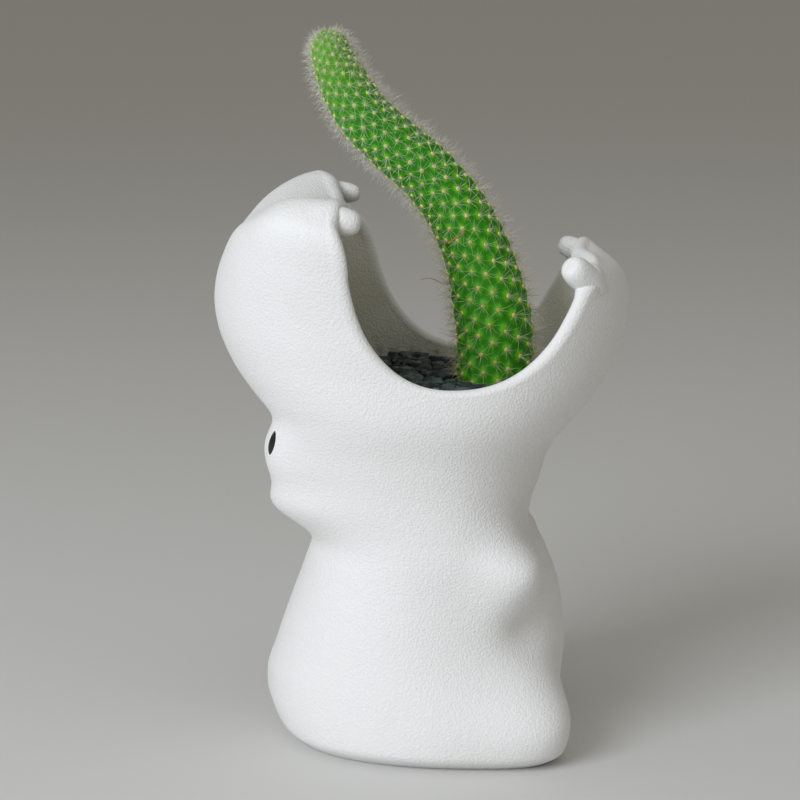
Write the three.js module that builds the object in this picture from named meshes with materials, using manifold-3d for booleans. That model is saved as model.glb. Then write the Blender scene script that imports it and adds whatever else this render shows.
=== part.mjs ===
// A succulent pot with its plant: a seated hippopotamus of matt white slip-cast ceramic, its head thrown
// back and its mouth open to the sky. Body, neck and jaws are one hollow shell. Gravel, soil and slate
// chips fill it to just under the lip, and a bent columnar cactus grows out between the jaws.
// X runs from the animal's back to its front, Y across it and Z up. The origin is on the ground under the
// middle of the pot. All sizes are in millimetres, and all turns are in degrees about the upright axis.
import * as THREE from "three";
import { mergeVertices } from "three/addons/utils/BufferGeometryUtils.js";
import Module from "manifold-3d";

const wasm = await Module();
wasm.setup();

// Gap left between pieces that touch
const CLEARANCE = 0.3;

// Outlines of the ceramic, each point a reach from the upright axis and a height above the ground
const BACK_OUTLINE = [
  [42.2, 0], [46.7, 4], [49.5, 9], [51.1, 15], [51.3, 21], [48.5, 32], [43, 48], [38.6, 60], [36.2, 68],
  [39.3, 76], [43.7, 86], [47.7, 96], [49.3, 105], [50.9, 111], [55.8, 118], [62.6, 128.1], [67.2, 140],
  [68, 150], [65.4, 161], [60.6, 169.7], [51.4, 175], [42.6, 176.6], [33.8, 177.6], [24, 177],
];
const FRONT_OUTLINE = [
  [44, 0], [43.5, 6], [47.4, 22], [48.5, 34], [46.6, 50], [41.2, 65], [36, 74], [36.7, 80], [39.4, 88],
  [42.4, 98], [51, 109], [58.8, 119], [64.3, 129], [67.8, 141], [68.2, 150.6], [65.3, 157.9],
  [59.8, 161.8], [50, 164], [39.9, 165],
];
const NECK_TOP = [50, 112];
const SIDE_OUTLINE = [
  [40.4, 0], [46.2, 5], [45.5, 20], [43.4, 40], [41.4, 60], [41, 72], [42.2, 84], [45.4, 99], NECK_TOP,
  [51, 126], [52.4, 140], [53.4, 155], [53.6, 168], [42.4, 174.5], [32, 174.5], [21, 170],
];

// How square the section is at each level: the corners stand out by this share of the radius
const SQUARENESS = [
  [0, 0.028], [30, 0], [70, 0.011], [112, 0.046], [134, 0.055], [149, 0.1], [157, 0.08], [168, -0.02],
  [178, -0.03],
];

// Rings are stacked flat up the body, and above the neck they fan out over the head. Between the two they
// ease over by this height on each side.
const HEAD_BLEND = 6;

// Rounded swellings of the form, a crease over the eyes and a hollow under the arm, each repeated on both
// sides. On the left each rises by this share of what it does on the right. The sides change over across
// this width.
const SNOUT_LOBE = { at: [-26.5, 40.1, 175], size: [28, 20.2, 17.2], rise: 7.9, leftShare: 1.24 };
const EYE_RIDGE = { at: [-40.7, 20.7, 97.4], size: [12.6, 13.1, 16.1], rise: 6.5, leftShare: 1 };
const NAPE = { at: [-33.2, 8, 81.4], size: [16.7, 22, 7.5], rise: 8.9, leftShare: 1 };
const BROW_CREASE = { at: [-49.2, 0, 110.6], size: [13.9, 22, 5.6], rise: -6, leftShare: 1 };
const SHOULDER = { at: [17, 38, 72], size: [14, 14, 13], rise: 3, leftShare: 0.75 };
const ARM = { at: [30.2, 31.8, 63.8], size: [10.4, 14, 12.6], rise: 12, leftShare: 0.75 };
const FLANK_HOLLOW = { at: [36, 33.6, 45.5], size: [9.5, 13, 7], rise: -2.6, leftShare: 1 };
const FOOT = { at: [37.1, 32, 10.8], size: [16, 14.6, 18.2], rise: 17.7, leftShare: 0.75 };
const THIGH = { at: [18.2, 40.7, 10.6], size: [23, 13.3, 17.9], rise: 5.5, leftShare: 1 };
const TAIL = { at: [-52, 0, 15], size: [8, 5, 11], rise: 0.9, leftShare: 1 };
const SWELLINGS = [
  SNOUT_LOBE, EYE_RIDGE, NAPE, BROW_CREASE, SHOULDER, ARM, FLANK_HOLLOW, FOOT, THIGH, TAIL,
];
const SIDE_CHANGE = 12;

// The open mouth, seen from the side: a deep round-bottomed notch cut across the head. On the right it is
// wider and squarer, by the amounts named for the right. Near its top it runs further back on the left than
// on the right, and flares to the front, by these amounts for each millimetre off the middle.
const MOUTH_X = 13.1;
const MOUTH_BOTTOM = 125.3;
const MOUTH_DEPTH = 52;
const MOUTH_BACK = 35.6;
const MOUTH_FRONT = 39.4;
const MOUTH_POWER = 2.05;
const RIGHT_BACK = 1.6;
const RIGHT_FRONT = 2.6;
const RIGHT_POWER = 0.2;
const LEFT_ASKEW = 0.34;
const RIGHT_ASKEW = 0.015;
const ASKEW_POWER = 9;
const MOUTH_FLARE = 0.4;
const FLARE_POWER = 5;
const HIGHEST_TILT = 76;

// Ceramic wall, floor, foot ring and drain hole
const WALL = 4;
const FLOOR = 5;
const FLOOR_FILLET = 6;
const FOOT_RING = 9;
const FOOT_RECESS = 1.2;
const DRAIN_DIAMETER = 10;

// Blunt teeth luted on to the lip, one placed a little unlike the next, as on a hand-finished pot. Each is
// set by its turn along the lip, how far over the lip's edge it starts, its slope, and how far in it sits
// from being flush with the outer surface.
const TEETH = {
  upper_tooth_right: { turn: -119, heading: 1, radius: 4.7, length: 10.6, lift: 1.2, pitch: -8, inset: 0 },
  upper_tooth_left: { turn: 137, heading: 1, radius: 3.7, length: 13.4, lift: -0.4, pitch: -4, inset: 1 },
  lower_tooth_right: { turn: -31, heading: -1, radius: 4.3, length: 7.4, lift: 2.4, pitch: 30, inset: 0.6 },
  lower_tooth_left: { turn: 31, heading: -1, radius: 2.9, length: 6.6, lift: 1.1, pitch: 21, inset: 0.5 },
};
const TOOTH_BLUNTNESS = 3;
const TOOTH_ROOT = 3.4;
const EYE_TURN = 149.8;
const EYE_LEVEL = 103.6;
const EYE_WIDTH = 5;
const EYE_HEIGHT = 10.2;
const EYE_LEAN = 13;
const EYE_BULGE = 1.3;

// Filling, from the floor up
const MESH_OVERLAP = 7;
const MESH_THICKNESS = 1.5;
const MESH_PITCH = 3.6;
const MESH_GAP = 2.4;
const GRAVEL_DEPTH = 14;
const BED_DEPTH = 7;
const LIP_SHOW = 2.3;

// Loose slate chips: the reach of the largest corner, the room a tilted chip takes up, and, as shares, how
// much nearer the nearest corner is, how narrow a chip is, how much its top tapers in, and the thinnest and
// the thickest of them
const CHIP_REACH = 4.7;
const CHIP_ROOM = 3.2;
const CHIP_TILT = 9;
const CHIP_JAGGEDNESS = 0.38;
const CHIP_NARROWNESS = 0.8;
const CHIP_TAPER = 0.88;
const CHIP_THINNEST = 0.5;
const CHIP_THICKEST = 0.72;
const CHIP_COUNT = 36;

// The cactus: its axis as a distance along X and a height above the slate bed, and its radius by height
const STEM_AXIS = [
  [24.2, -7], [24.4, 8], [24.3, 16], [22.3, 28.5], [18.6, 42], [12.6, 55], [3.2, 67.5], [-8.6, 78],
  [-18.3, 87.3], [-24.6, 97], [-28.8, 106.5], [-31, 115.4],
];
const STEM_RADIUS = [
  [-7, 12.5], [22, 12.8], [39, 11.6], [60, 10.2], [76, 9.5], [90, 8.9], [105, 7.2], [115.4, 5.4],
];
const STEM_TIP = 6;
const ROOT_RADIUS = 13.5;
const ROOT_DEPTH = 40;
const ROOT_MARGIN = 2.5;

// Colours of the pieces
const COLOUR = {
  ceramic: 0xe9e7e1,
  glaze: 0x0c0c0e,
  netting: 0x2e302e,
  gravel: 0x8d8474,
  soil: 0x3b2f26,
  roots: 0x6b5238,
  slate: 0x3a4240,
  chip: 0x49524f,
  cactus: 0x3f8f2a,
};

// Fineness of the curved surfaces
const TURNS = 84;
const LIP_STEPS = 1440;
const BODY_LEVELS = [
  0, 2.5, 6, 12, 20, 28, 36, 44, 52, 59, 64, 68, 71, 74, 77, 82, 89, 97, 105,
];
const CAVITY_LEVELS = [12, 18, 25, 34, 46, 60, 68, 76, 88, 100];
const HEAD_ROWS = 10;
const NECK_ROWS = 2;
const CAVITY_HEAD_ROWS = 5;
const LIP_ROWS = 4;
const STEM_STEPS = 34;
const STEM_CROWDING = 1.4;
const STEM_SHARE = 0.9995;
const STEM_SIDES = 16;
const SMALL_SIDES = 16;
const CHIP_SIDES = 6;

const { degToRad, clamp, lerp } = THREE.MathUtils;

// A smooth line through [place, value] stations: a cubic between each two that never overshoots them.
function smoothLine(stations) {
  const last = stations.length - 1;
  const steps = stations.slice(1).map(([place], i) => place - stations[i][0]);
  const grades = stations.slice(1).map(([, value], i) => (value - stations[i][1]) / steps[i]);
  const slopes = stations.map((_, i) => {
    if (i === 0) return grades[0];
    if (i === last) return grades[last - 1];
    if (grades[i - 1] * grades[i] <= 0) return 0;
    const before = 2 * steps[i] + steps[i - 1];
    const after = steps[i] + 2 * steps[i - 1];
    return (before + after) / (before / grades[i - 1] + after / grades[i]);
  });
  return (place) => {
    const at = clamp(place, stations[0][0], stations[last][0]);
    const found = stations.findIndex(([start]) => start >= at);
    const i = clamp(found - 1, 0, last - 1);
    const t = (at - stations[i][0]) / steps[i];
    const start = (1 + 2 * t) * (1 - t) ** 2 * stations[i][1] + t * (1 - t) ** 2 * steps[i] * slopes[i];
    const end = t * t * (3 - 2 * t) * stations[i + 1][1] + t * t * (t - 1) * steps[i] * slopes[i + 1];
    return start + end;
  };
}

// How far a level is up the head, eased in over the blend so that the form has no crease there.
const [headRadius, headHeight] = NECK_TOP;

function headRise(level) {
  const above = level - headHeight;
  if (above <= -HEAD_BLEND) return 0;
  if (above >= HEAD_BLEND) return above;
  return (above + HEAD_BLEND) ** 2 / (4 * HEAD_BLEND);
}

// The slope, in radians, of the rays that a level's ring lies on, and where they leave the axis.
const rayTilt = (level) => headRise(level) / headRadius;
const rayStart = (level) => level - headRise(level);

// Finds by halving the level between low and high at which a test turns from false to true.
function levelWhere(test, low, high) {
  for (let i = 0; i < 40; i += 1) {
    const middle = (low + high) / 2;
    if (test(middle)) high = middle;
    else low = middle;
  }
  return low;
}

// Turns an outline into the radius along the ray of each level.
function radiusByLevel(outline) {
  const top = headHeight + (headRadius * Math.PI) / 2;
  return smoothLine(outline.map(([reach, height]) => {
    const passes = (level) => rayStart(level) + reach * Math.tan(rayTilt(level)) >= height;
    const level = height <= headHeight - HEAD_BLEND ? height : levelWhere(passes, 0, top);
    return [level, reach / Math.cos(rayTilt(level))];
  }));
}

const backRadius = radiusByLevel(BACK_OUTLINE);
const frontRadius = radiusByLevel(FRONT_OUTLINE);
const sideRadius = radiusByLevel(SIDE_OUTLINE);
const squareness = smoothLine(SQUARENESS);

// The point at a radius along the ray of a turn and a level.
function rayPoint(turn, level, radius) {
  const tilt = rayTilt(level);
  const reach = radius * Math.cos(tilt);
  const height = rayStart(level) + radius * Math.sin(tilt);
  return new THREE.Vector3(reach * Math.cos(turn), reach * Math.sin(turn), height);
}

// How far to the right a place is: 1 on the right side, 0 on the left, changing over near the middle.
const rightness = (y) => (1 - Math.tanh(y / SIDE_CHANGE)) / 2;

// The radius of the outer form along a ray: half an oval to the front and half to the back, between the
// outlines, squared a little at the corners and raised by the swellings.
function outerRadius(turn, level) {
  const along = Math.cos(turn);
  const reach = along > 0 ? frontRadius(level) : backRadius(level);
  const oval = 1 / Math.hypot(along / reach, Math.sin(turn) / sideRadius(level));
  const radius = oval * (1 + squareness(level) * Math.sin(2 * turn) ** 2);
  const point = rayPoint(turn, level, radius);
  const rises = SWELLINGS.map(({ at, size, rise, leftShare }) => {
    const offsets = [point.x - at[0], Math.abs(point.y) - at[1], point.z - at[2]];
    const share = lerp(leftShare, 1, rightness(point.y));
    return share * rise * Math.exp(-offsets.reduce((sum, offset, i) => sum + (offset / size[i]) ** 2, 0));
  });
  return rises.reduce((sum, rise) => sum + rise, radius);
}

const form = (turn, level) => rayPoint(turn, level, outerRadius(turn, level));

// The outward normal of the form.
function formNormal(turn, level) {
  const turnStep = 0.01;
  const levelStep = 0.2;
  const around = form(turn + turnStep, level).sub(form(turn - turnStep, level));
  const upward = form(turn, level + levelStep).sub(form(turn, level - levelStep));
  return around.cross(upward).normalize();
}

// A point at a height over the outer surface, square to it.
const over = (turn, level, height) => form(turn, level).addScaledVector(formNormal(turn, level), height);

// A point at a depth under the least outer radius nearby, so that creases and swellings don't thin the wall.
function inside(turn, level, depth) {
  const near = WALL / 2;
  const aside = near / outerRadius(turn, level);
  const places = [[0, 0], [0, near], [0, -near], [aside, 0], [-aside, 0]];
  const radii = places.map(([turned, raised]) => outerRadius(turn + turned, level + raised));
  return rayPoint(turn, level, Math.min(...radii) - depth);
}

// Tells whether a point of the form lies in the mouth's notch, with half a wall kept back for the lip.
function inMouth(point) {
  const half = WALL / 2;
  const rise = clamp((point.z - MOUTH_BOTTOM) / MOUTH_DEPTH, 0, 1);
  const right = rightness(point.y);
  const aside = Math.abs(point.y);
  const askew = (point.y > 0 ? LEFT_ASKEW : RIGHT_ASKEW) * aside * rise ** ASKEW_POWER;
  const back = MOUTH_BACK + RIGHT_BACK * right + askew;
  const front = MOUTH_FRONT + RIGHT_FRONT * right + MOUTH_FLARE * aside * rise ** FLARE_POWER;
  const power = MOUTH_POWER + RIGHT_POWER * right;
  const reach = (point.x < MOUTH_X ? back : front) + half;
  const low = Math.max(MOUTH_BOTTOM + MOUTH_DEPTH - point.z, 0) / (MOUTH_DEPTH + half);
  return (Math.abs(point.x - MOUTH_X) / reach) ** power + low ** power < 1;
}

const headTop = headHeight + headRadius * degToRad(HIGHEST_TILT);
const lipLevel = (turn) => levelWhere((level) => inMouth(form(turn, level)), headHeight / 2, headTop);

// Turns of the rings' points, spread half by turn and half by length along the lip.
function ringTurns() {
  const fine = Array.from({ length: LIP_STEPS + 1 }, (_, i) => (2 * Math.PI * i) / LIP_STEPS);
  const lip = fine.map((turn) => form(turn, lipLevel(turn)));
  const lengths = [0];
  lip.slice(1).forEach((point, i) => lengths.push(lengths[i] + point.distanceTo(lip[i])));
  const shares = lengths.map((length, i) => (i / LIP_STEPS + length / lengths.at(-1)) / 2);
  return Array.from({ length: TURNS }, (_, i) => {
    const next = shares.findIndex((share) => share > i / TURNS);
    const part = (i / TURNS - shares[next - 1]) / (shares[next] - shares[next - 1]);
    return lerp(fine[next - 1], fine[next], part);
  });
}
const turns = ringTurns();
const lipLevels = turns.map(lipLevel);
const ring = (pointAt) => turns.map((turn, i) => pointAt(turn, i));

// Joins rings of points into one closed surface: round to the first ring, or with an end cap at each end.
// Each four-cornered face is split along its shorter diagonal.
function surfaceOf(rings, meetsItself = false) {
  const sides = rings[0].length;
  const points = rings.flat();
  const faces = [];
  const spans = meetsItself ? rings.length : rings.length - 1;
  for (let row = 0; row < spans; row += 1) {
    const here = row * sides;
    const next = ((row + 1) % rings.length) * sides;
    for (let i = 0; i < sides; i += 1) {
      const j = (i + 1) % sides;
      const [a, b, c, d] = [here + i, here + j, next + j, next + i];
      const straight = points[a].distanceTo(points[c]) < points[b].distanceTo(points[d]);
      faces.push(...(straight ? [a, b, c, a, c, d] : [a, b, d, b, c, d]));
    }
  }
  if (!meetsItself) {
    const top = (rings.length - 1) * sides;
    const middles = [rings[0], rings.at(-1)].map((end) => {
      const sum = end.reduce((total, point) => total.add(point), new THREE.Vector3());
      return points.push(sum.divideScalar(sides)) - 1;
    });
    for (let i = 0; i < sides; i += 1) {
      const j = (i + 1) % sides;
      faces.push(middles[0], j, i, middles[1], top + i, top + j);
    }
  }
  return new THREE.BufferGeometry().setFromPoints(points).setIndex(faces);
}

// A closed geometry as a solid to cut with, and back.
function solidOf(geometry) {
  const bare = geometry.clone();
  bare.deleteAttribute("normal");
  bare.deleteAttribute("uv");
  const merged = mergeVertices(bare, 1e-4);
  const vertProperties = new Float32Array(merged.attributes.position.array);
  const triVerts = new Uint32Array(merged.index.array);
  return new wasm.Manifold(new wasm.Mesh({ numProp: 3, vertProperties, triVerts }));
}

function geometryOf(solid) {
  const { vertProperties, triVerts } = solid.getMesh();
  const geometry = new THREE.BufferGeometry();
  geometry.setAttribute("position", new THREE.BufferAttribute(vertProperties, 3));
  geometry.setIndex(new THREE.BufferAttribute(triVerts, 1));
  return geometry;
}

const pot = new THREE.Group();

// Adds a named piece with a finish of its own.
function addPiece(name, geometry, color, roughness) {
  const mesh = new THREE.Mesh(geometry, new THREE.MeshStandardMaterial({ color, roughness, metalness: 0 }));
  mesh.name = name;
  pot.add(mesh);
  return mesh;
}

// Heights that the pieces share
const floorTop = FOOT_RECESS + FLOOR;
const chipTop = MOUTH_BOTTOM - LIP_SHOW;
const bedTop = chipTop - CHIP_ROOM - CLEARANCE;
const soilTop = bedTop - BED_DEPTH - CLEARANCE;
const gravelTop = floorTop + CLEARANCE + GRAVEL_DEPTH;
const fillingLevel = MOUTH_BOTTOM - WALL;

// The ceramic shell. Rings run up the outside, over the rounded lip, down the inside, across the floor,
// through the drain hole and back under the foot. Grow swells the wall on both sides.
function shellGeometry(grow = 0) {
  const rings = BODY_LEVELS.map((level) => ring((turn) => over(turn, level, grow)));
  for (let row = 1; row <= HEAD_ROWS; row += 1) {
    const share = row / HEAD_ROWS;
    rings.push(ring((turn, i) => over(turn, lerp(BODY_LEVELS.at(-1), lipLevels[i], share), grow)));
  }
  const outer = rings.at(-1);
  const inner = ring((turn, i) => inside(turn, lipLevels[i], WALL + grow));
  for (let row = 1; row < LIP_ROWS; row += 1) {
    const bend = (Math.PI * row) / LIP_ROWS;
    rings.push(ring((turn, i) => {
      const half = outer[i].clone().sub(inner[i]).divideScalar(2);
      const along = outer[(i + 1) % TURNS].clone().sub(outer[(i + TURNS - 1) % TURNS]);
      const rise = half.clone().cross(along).setLength(half.length());
      const middle = inner[i].clone().add(half);
      return middle.addScaledVector(half, Math.cos(bend)).addScaledVector(rise, Math.sin(bend));
    }));
  }
  rings.push(inner);
  for (let row = CAVITY_HEAD_ROWS - 1; row > 0; row -= 1) {
    const share = row / CAVITY_HEAD_ROWS;
    rings.push(ring((turn, i) => inside(turn, lerp(fillingLevel, lipLevels[i], share), WALL + grow)));
  }
  rings.push(...cavityRings(WALL + grow, floorTop + grow).reverse());
  const drain = (height) => ring((turn) => {
    const radius = DRAIN_DIAMETER / 2;
    return new THREE.Vector3(radius * Math.cos(turn), radius * Math.sin(turn), height);
  });
  const footRing = (height) => ring((turn) => {
    const point = form(turn, 0);
    return point.setLength(point.length() - FOOT_RING).setZ(height);
  });
  rings.push(drain(floorTop + grow), drain(FOOT_RECESS), footRing(FOOT_RECESS), footRing(0));
  return surfaceOf(rings, true);
}

// Rings of the cavity from its floor up to just under the lip, at a depth under the outer surface, with a
// fillet between floor and wall.
function cavityRings(depth, floorHeight) {
  const bodyTop = CAVITY_LEVELS.at(-1);
  const neckShares = Array.from({ length: NECK_ROWS }, (_, row) => (row + 1) / NECK_ROWS);
  const neck = neckShares.map((share) => lerp(bodyTop, fillingLevel, share));
  const walls = [...CAVITY_LEVELS, ...neck].map((level) => ring((turn) => inside(turn, level, depth)));
  const fillet = [90, 45].map((bend) => ring((turn, i) => {
    const start = walls[0][i];
    const inset = FLOOR_FILLET * (1 - Math.cos(degToRad(bend)));
    const height = lerp(start.z, floorHeight, Math.sin(degToRad(bend)));
    const reach = Math.hypot(start.x, start.y) - inset;
    return new THREE.Vector3(reach * Math.cos(turn), reach * Math.sin(turn), height);
  }));
  return [...fillet, ...walls];
}

addPiece("pot_shell", shellGeometry(), COLOUR.ceramic, 0.75);
const swollenShell = solidOf(shellGeometry(CLEARANCE));

// The largest of the bodies that a cut leaves.
function largestBody(solid) {
  return solid.decompose().reduce((best, body) => (body.volume() > best.volume() ? body : best));
}

// A blunt peg along +Z, its profile rounding in towards the tip, and towards the short root behind it.
function pegGeometry(radius, length) {
  const shares = [-1, -0.95, -0.8, -0.5, 0, 0.3, 0.55, 0.75, 0.88, 0.96, 1];
  const profile = shares.map((share) => {
    const rounding = (1 - Math.abs(share) ** TOOTH_BLUNTNESS) ** (1 / TOOTH_BLUNTNESS);
    return new THREE.Vector2(radius * rounding, share * (share < 0 ? TOOTH_ROOT : length));
  });
  return new THREE.LatheGeometry(profile, SMALL_SIDES).rotateX(Math.PI / 2);
}

// A tooth grows from the lip into the mouth, and is cut to sit on the lip.
function addTooth(name, { turn, heading, radius, length, lift, pitch, inset }) {
  const angle = degToRad(turn);
  const root = over(angle, lipLevel(angle), -radius - inset);
  const tilt = degToRad(pitch);
  const aim = new THREE.Vector3(heading * Math.cos(tilt), 0, Math.sin(tilt));
  const facing = new THREE.Quaternion().setFromUnitVectors(new THREE.Vector3(0, 0, 1), aim);
  const peg = pegGeometry(radius, length).applyQuaternion(facing);
  peg.translate(root.x, root.y, root.z + lift);
  addPiece(name, geometryOf(largestBody(solidOf(peg).subtract(swollenShell))), COLOUR.ceramic, 0.75);
}

// An eye is a low glazed dome on the ridge, slanted to the front and cut to sit on it.
function addEye(name, hand) {
  const angle = degToRad(EYE_TURN) * hand;
  const middle = form(angle, EYE_LEVEL);
  const normal = formNormal(angle, EYE_LEVEL);
  const across = new THREE.Vector3(0, 0, 1).cross(normal).normalize();
  const upward = normal.clone().cross(across);
  const basis = new THREE.Matrix4().makeBasis(across, upward, normal).setPosition(middle);
  const dome = new THREE.SphereGeometry(1, SMALL_SIDES, SMALL_SIDES / 2);
  dome.scale(EYE_WIDTH / 2, EYE_HEIGHT / 2, EYE_BULGE).rotateZ(hand * degToRad(EYE_LEAN));
  dome.applyMatrix4(basis);
  addPiece(name, geometryOf(largestBody(solidOf(dome).subtract(swollenShell))), COLOUR.glaze, 0.15);
}

Object.entries(TEETH).forEach(([name, tooth]) => addTooth(name, tooth));
addEye("eye_left", 1);
addEye("eye_right", -1);

// A disc of plastic netting over the drain hole keeps the gravel in
const nettingRadius = DRAIN_DIAMETER / 2 + MESH_OVERLAP;

function nettingGeometry() {
  const bar = MESH_PITCH - MESH_GAP;
  const count = Math.floor(nettingRadius / MESH_PITCH);
  const disc = new THREE.CylinderGeometry(nettingRadius, nettingRadius, MESH_THICKNESS, 2 * SMALL_SIDES);
  let net = solidOf(disc.rotateX(Math.PI / 2));
  for (let row = -count; row <= count; row += 1) {
    for (let column = -count; column <= count; column += 1) {
      const [x, y] = [column * MESH_PITCH, row * MESH_PITCH];
      const corner = Math.hypot(Math.abs(x) + MESH_GAP / 2, Math.abs(y) + MESH_GAP / 2);
      if (corner > nettingRadius - bar) continue;
      const gap = new THREE.BoxGeometry(MESH_GAP, MESH_GAP, 2 * MESH_THICKNESS);
      net = net.subtract(solidOf(gap.translate(x, y, 0)));
    }
  }
  return geometryOf(net);
}
const netting = addPiece("drain_mesh", nettingGeometry(), COLOUR.netting, 0.6);
netting.position.z = floorTop + CLEARANCE + MESH_THICKNESS / 2;

// The stem: a round section carried along the bent axis, closing to a rounded tip. Grow swells it.
const stemStations = STEM_AXIS.map(([x, height]) => new THREE.Vector3(x, 0, height));
const stemAxis = new THREE.CatmullRomCurve3(stemStations);
const stemRadius = smoothLine(STEM_RADIUS);

function stemGeometry(grow = 0) {
  const length = stemAxis.getLength();
  const across = new THREE.Vector3(0, 1, 0);
  const rings = Array.from({ length: STEM_STEPS + 1 }, (_, step) => {
    const place = (1 - (1 - step / STEM_STEPS) ** STEM_CROWDING) * STEM_SHARE;
    const middle = stemAxis.getPointAt(place);
    const left = clamp((length * (1 - place)) / STEM_TIP, 0, 1);
    const radius = stemRadius(middle.z) * Math.sqrt(1 - (1 - left) ** 2) + grow;
    const out = across.clone().cross(stemAxis.getTangentAt(place));
    return Array.from({ length: STEM_SIDES }, (_, i) => {
      const angle = (2 * Math.PI * i) / STEM_SIDES;
      const offset = out.clone().multiplyScalar(radius * Math.cos(angle));
      return middle.clone().add(offset).addScaledVector(across, radius * Math.sin(angle));
    });
  });
  return surfaceOf(rings);
}

// The stem's foot is cut level, on top of the soil
const stemFoot = new THREE.Vector3(STEM_AXIS[0][0], 0, 0);
const stem = addPiece("cactus_stem", stemGeometry(), COLOUR.cactus, 0.55);
stem.position.z = bedTop;

// Layers of the filling are slices of the cavity, clear of the shell
const cavity = (depth) => solidOf(surfaceOf(cavityRings(depth, floorTop + depth - WALL)));
const filling = cavity(WALL + CLEARANCE);

function layer(bottom, top) {
  const span = 4 * headHeight;
  const slice = new THREE.BoxGeometry(span, span, top - bottom).translate(0, 0, (bottom + top) / 2);
  return filling.intersect(solidOf(slice));
}

const swollenNetting = new THREE.CylinderGeometry(1, 1, 1, 2 * SMALL_SIDES).rotateX(Math.PI / 2);
const nettingReach = nettingRadius + 2 * CLEARANCE;
swollenNetting.scale(nettingReach, nettingReach, MESH_THICKNESS + 2 * CLEARANCE);
swollenNetting.translate(0, 0, netting.position.z);
const gravel = layer(floorTop, gravelTop).subtract(solidOf(swollenNetting));
addPiece("drainage_gravel", geometryOf(gravel), COLOUR.gravel, 0.9);

// The root ball hangs in the soil under the stem, and stops short of the wall. Grow swells it.
function rootBall(grow = 0) {
  const profile = [[0, 1], [0.35, 0.96], [0.62, 0.72], [0.86, 0.36], [1, 0.1], [1, 0]];
  const points = profile.map(([reach, depth]) => {
    const swell = reach > 0 ? grow : 0;
    const drop = depth > 0 ? ROOT_DEPTH * depth + grow : 0;
    return new THREE.Vector2(ROOT_RADIUS * reach + swell, -drop);
  });
  const taper = new THREE.LatheGeometry([...points, new THREE.Vector2(0, 0)], SMALL_SIDES);
  taper.rotateX(Math.PI / 2).translate(stemFoot.x, 0, soilTop);
  return solidOf(taper).intersect(cavity(WALL + ROOT_MARGIN - grow));
}
addPiece("root_ball", geometryOf(rootBall()), COLOUR.roots, 0.9);

const soil = layer(gravelTop + CLEARANCE, soilTop).subtract(rootBall(CLEARANCE));
addPiece("potting_soil", geometryOf(soil), COLOUR.soil, 0.95);

const swollenStem = stemGeometry(CLEARANCE).translate(0, 0, bedTop);
const bed = layer(soilTop + CLEARANCE, bedTop).subtract(solidOf(swollenStem));
addPiece("slate_bed", geometryOf(bed), COLOUR.slate, 0.8);

// A number between 0 and 1 that looks random but is always the same for the same two counts.
function scatter(item, kind) {
  const wave = Math.sin(item * 127.1 + kind * 311.7) * 43758.5453;
  return wave - Math.floor(wave);
}

// A flat broken chip with its lowest point at height 0: an uneven polygon, smaller and shifted on top.
function chipGeometry(item) {
  const outline = (reach, height, kind) => Array.from({ length: CHIP_SIDES }, (_, i) => {
    const angle = (2 * Math.PI * (i + CHIP_JAGGEDNESS * scatter(item, i))) / CHIP_SIDES;
    const corner = reach * (1 - CHIP_JAGGEDNESS * scatter(item, kind + i));
    return new THREE.Vector3(corner * Math.cos(angle), CHIP_NARROWNESS * corner * Math.sin(angle), height);
  });
  const thickness = CHIP_ROOM * lerp(CHIP_THINNEST, CHIP_THICKEST, scatter(item, 40));
  const chip = surfaceOf([outline(CHIP_REACH, 0, 10), outline(CHIP_REACH * CHIP_TAPER, thickness, 20)]);
  chip.rotateX(degToRad(CHIP_TILT) * (2 * scatter(item, 50) - 1)).rotateZ(2 * Math.PI * scatter(item, 60));
  chip.computeBoundingBox();
  return chip.translate(0, 0, -chip.boundingBox.min.z);
}

// Tells whether a chip at a place clears the stem and the wall.
function chipFits(x, y) {
  const clear = CHIP_REACH + CLEARANCE;
  if (Math.hypot(x - stemFoot.x, y) < stemRadius(0) + clear + CLEARANCE) return false;
  return turns.every((turn) => {
    const edge = new THREE.Vector2(x + clear * Math.cos(turn), y + clear * Math.sin(turn));
    const wall = inside(edge.angle(), bedTop, WALL + CLEARANCE);
    return edge.length() < Math.hypot(wall.x, wall.y);
  });
}

// Loose chips lie on the bed, at places picked out of a close triangular pattern
const chipPitch = 2 * CHIP_REACH + CLEARANCE;
const chipRows = Math.ceil((2 * headRadius) / chipPitch);
const sites = [];
for (let row = -chipRows; row <= chipRows; row += 1) {
  for (let column = -chipRows; column <= chipRows; column += 1) {
    const x = (column + (row % 2) / 2) * chipPitch;
    const y = row * chipPitch * Math.sin(Math.PI / 3);
    if (chipFits(x, y)) sites.push({ x, y, order: scatter(sites.length, 1) });
  }
}
sites.sort((first, second) => first.order - second.order);
sites.slice(0, CHIP_COUNT).forEach(({ x, y }, i) => {
  const name = `slate_chip_${String(i + 1).padStart(2, "0")}`;
  addPiece(name, chipGeometry(i), COLOUR.chip, 0.7).position.set(x, y, bedTop + CLEARANCE);
});

export default pot;
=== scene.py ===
"""Dresses a planted pot: a seated hippopotamus of sand-textured white ceramic, a cactus and slate chips.

X runs from the animal's back to its front, Y to its left and Z up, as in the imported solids. Sizes in the
classes are in millimetres, and add_piece turns points to metres when it makes a mesh.
"""
import logging
import math
from collections.abc import Callable
from dataclasses import dataclass, field
from enum import Enum

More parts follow.
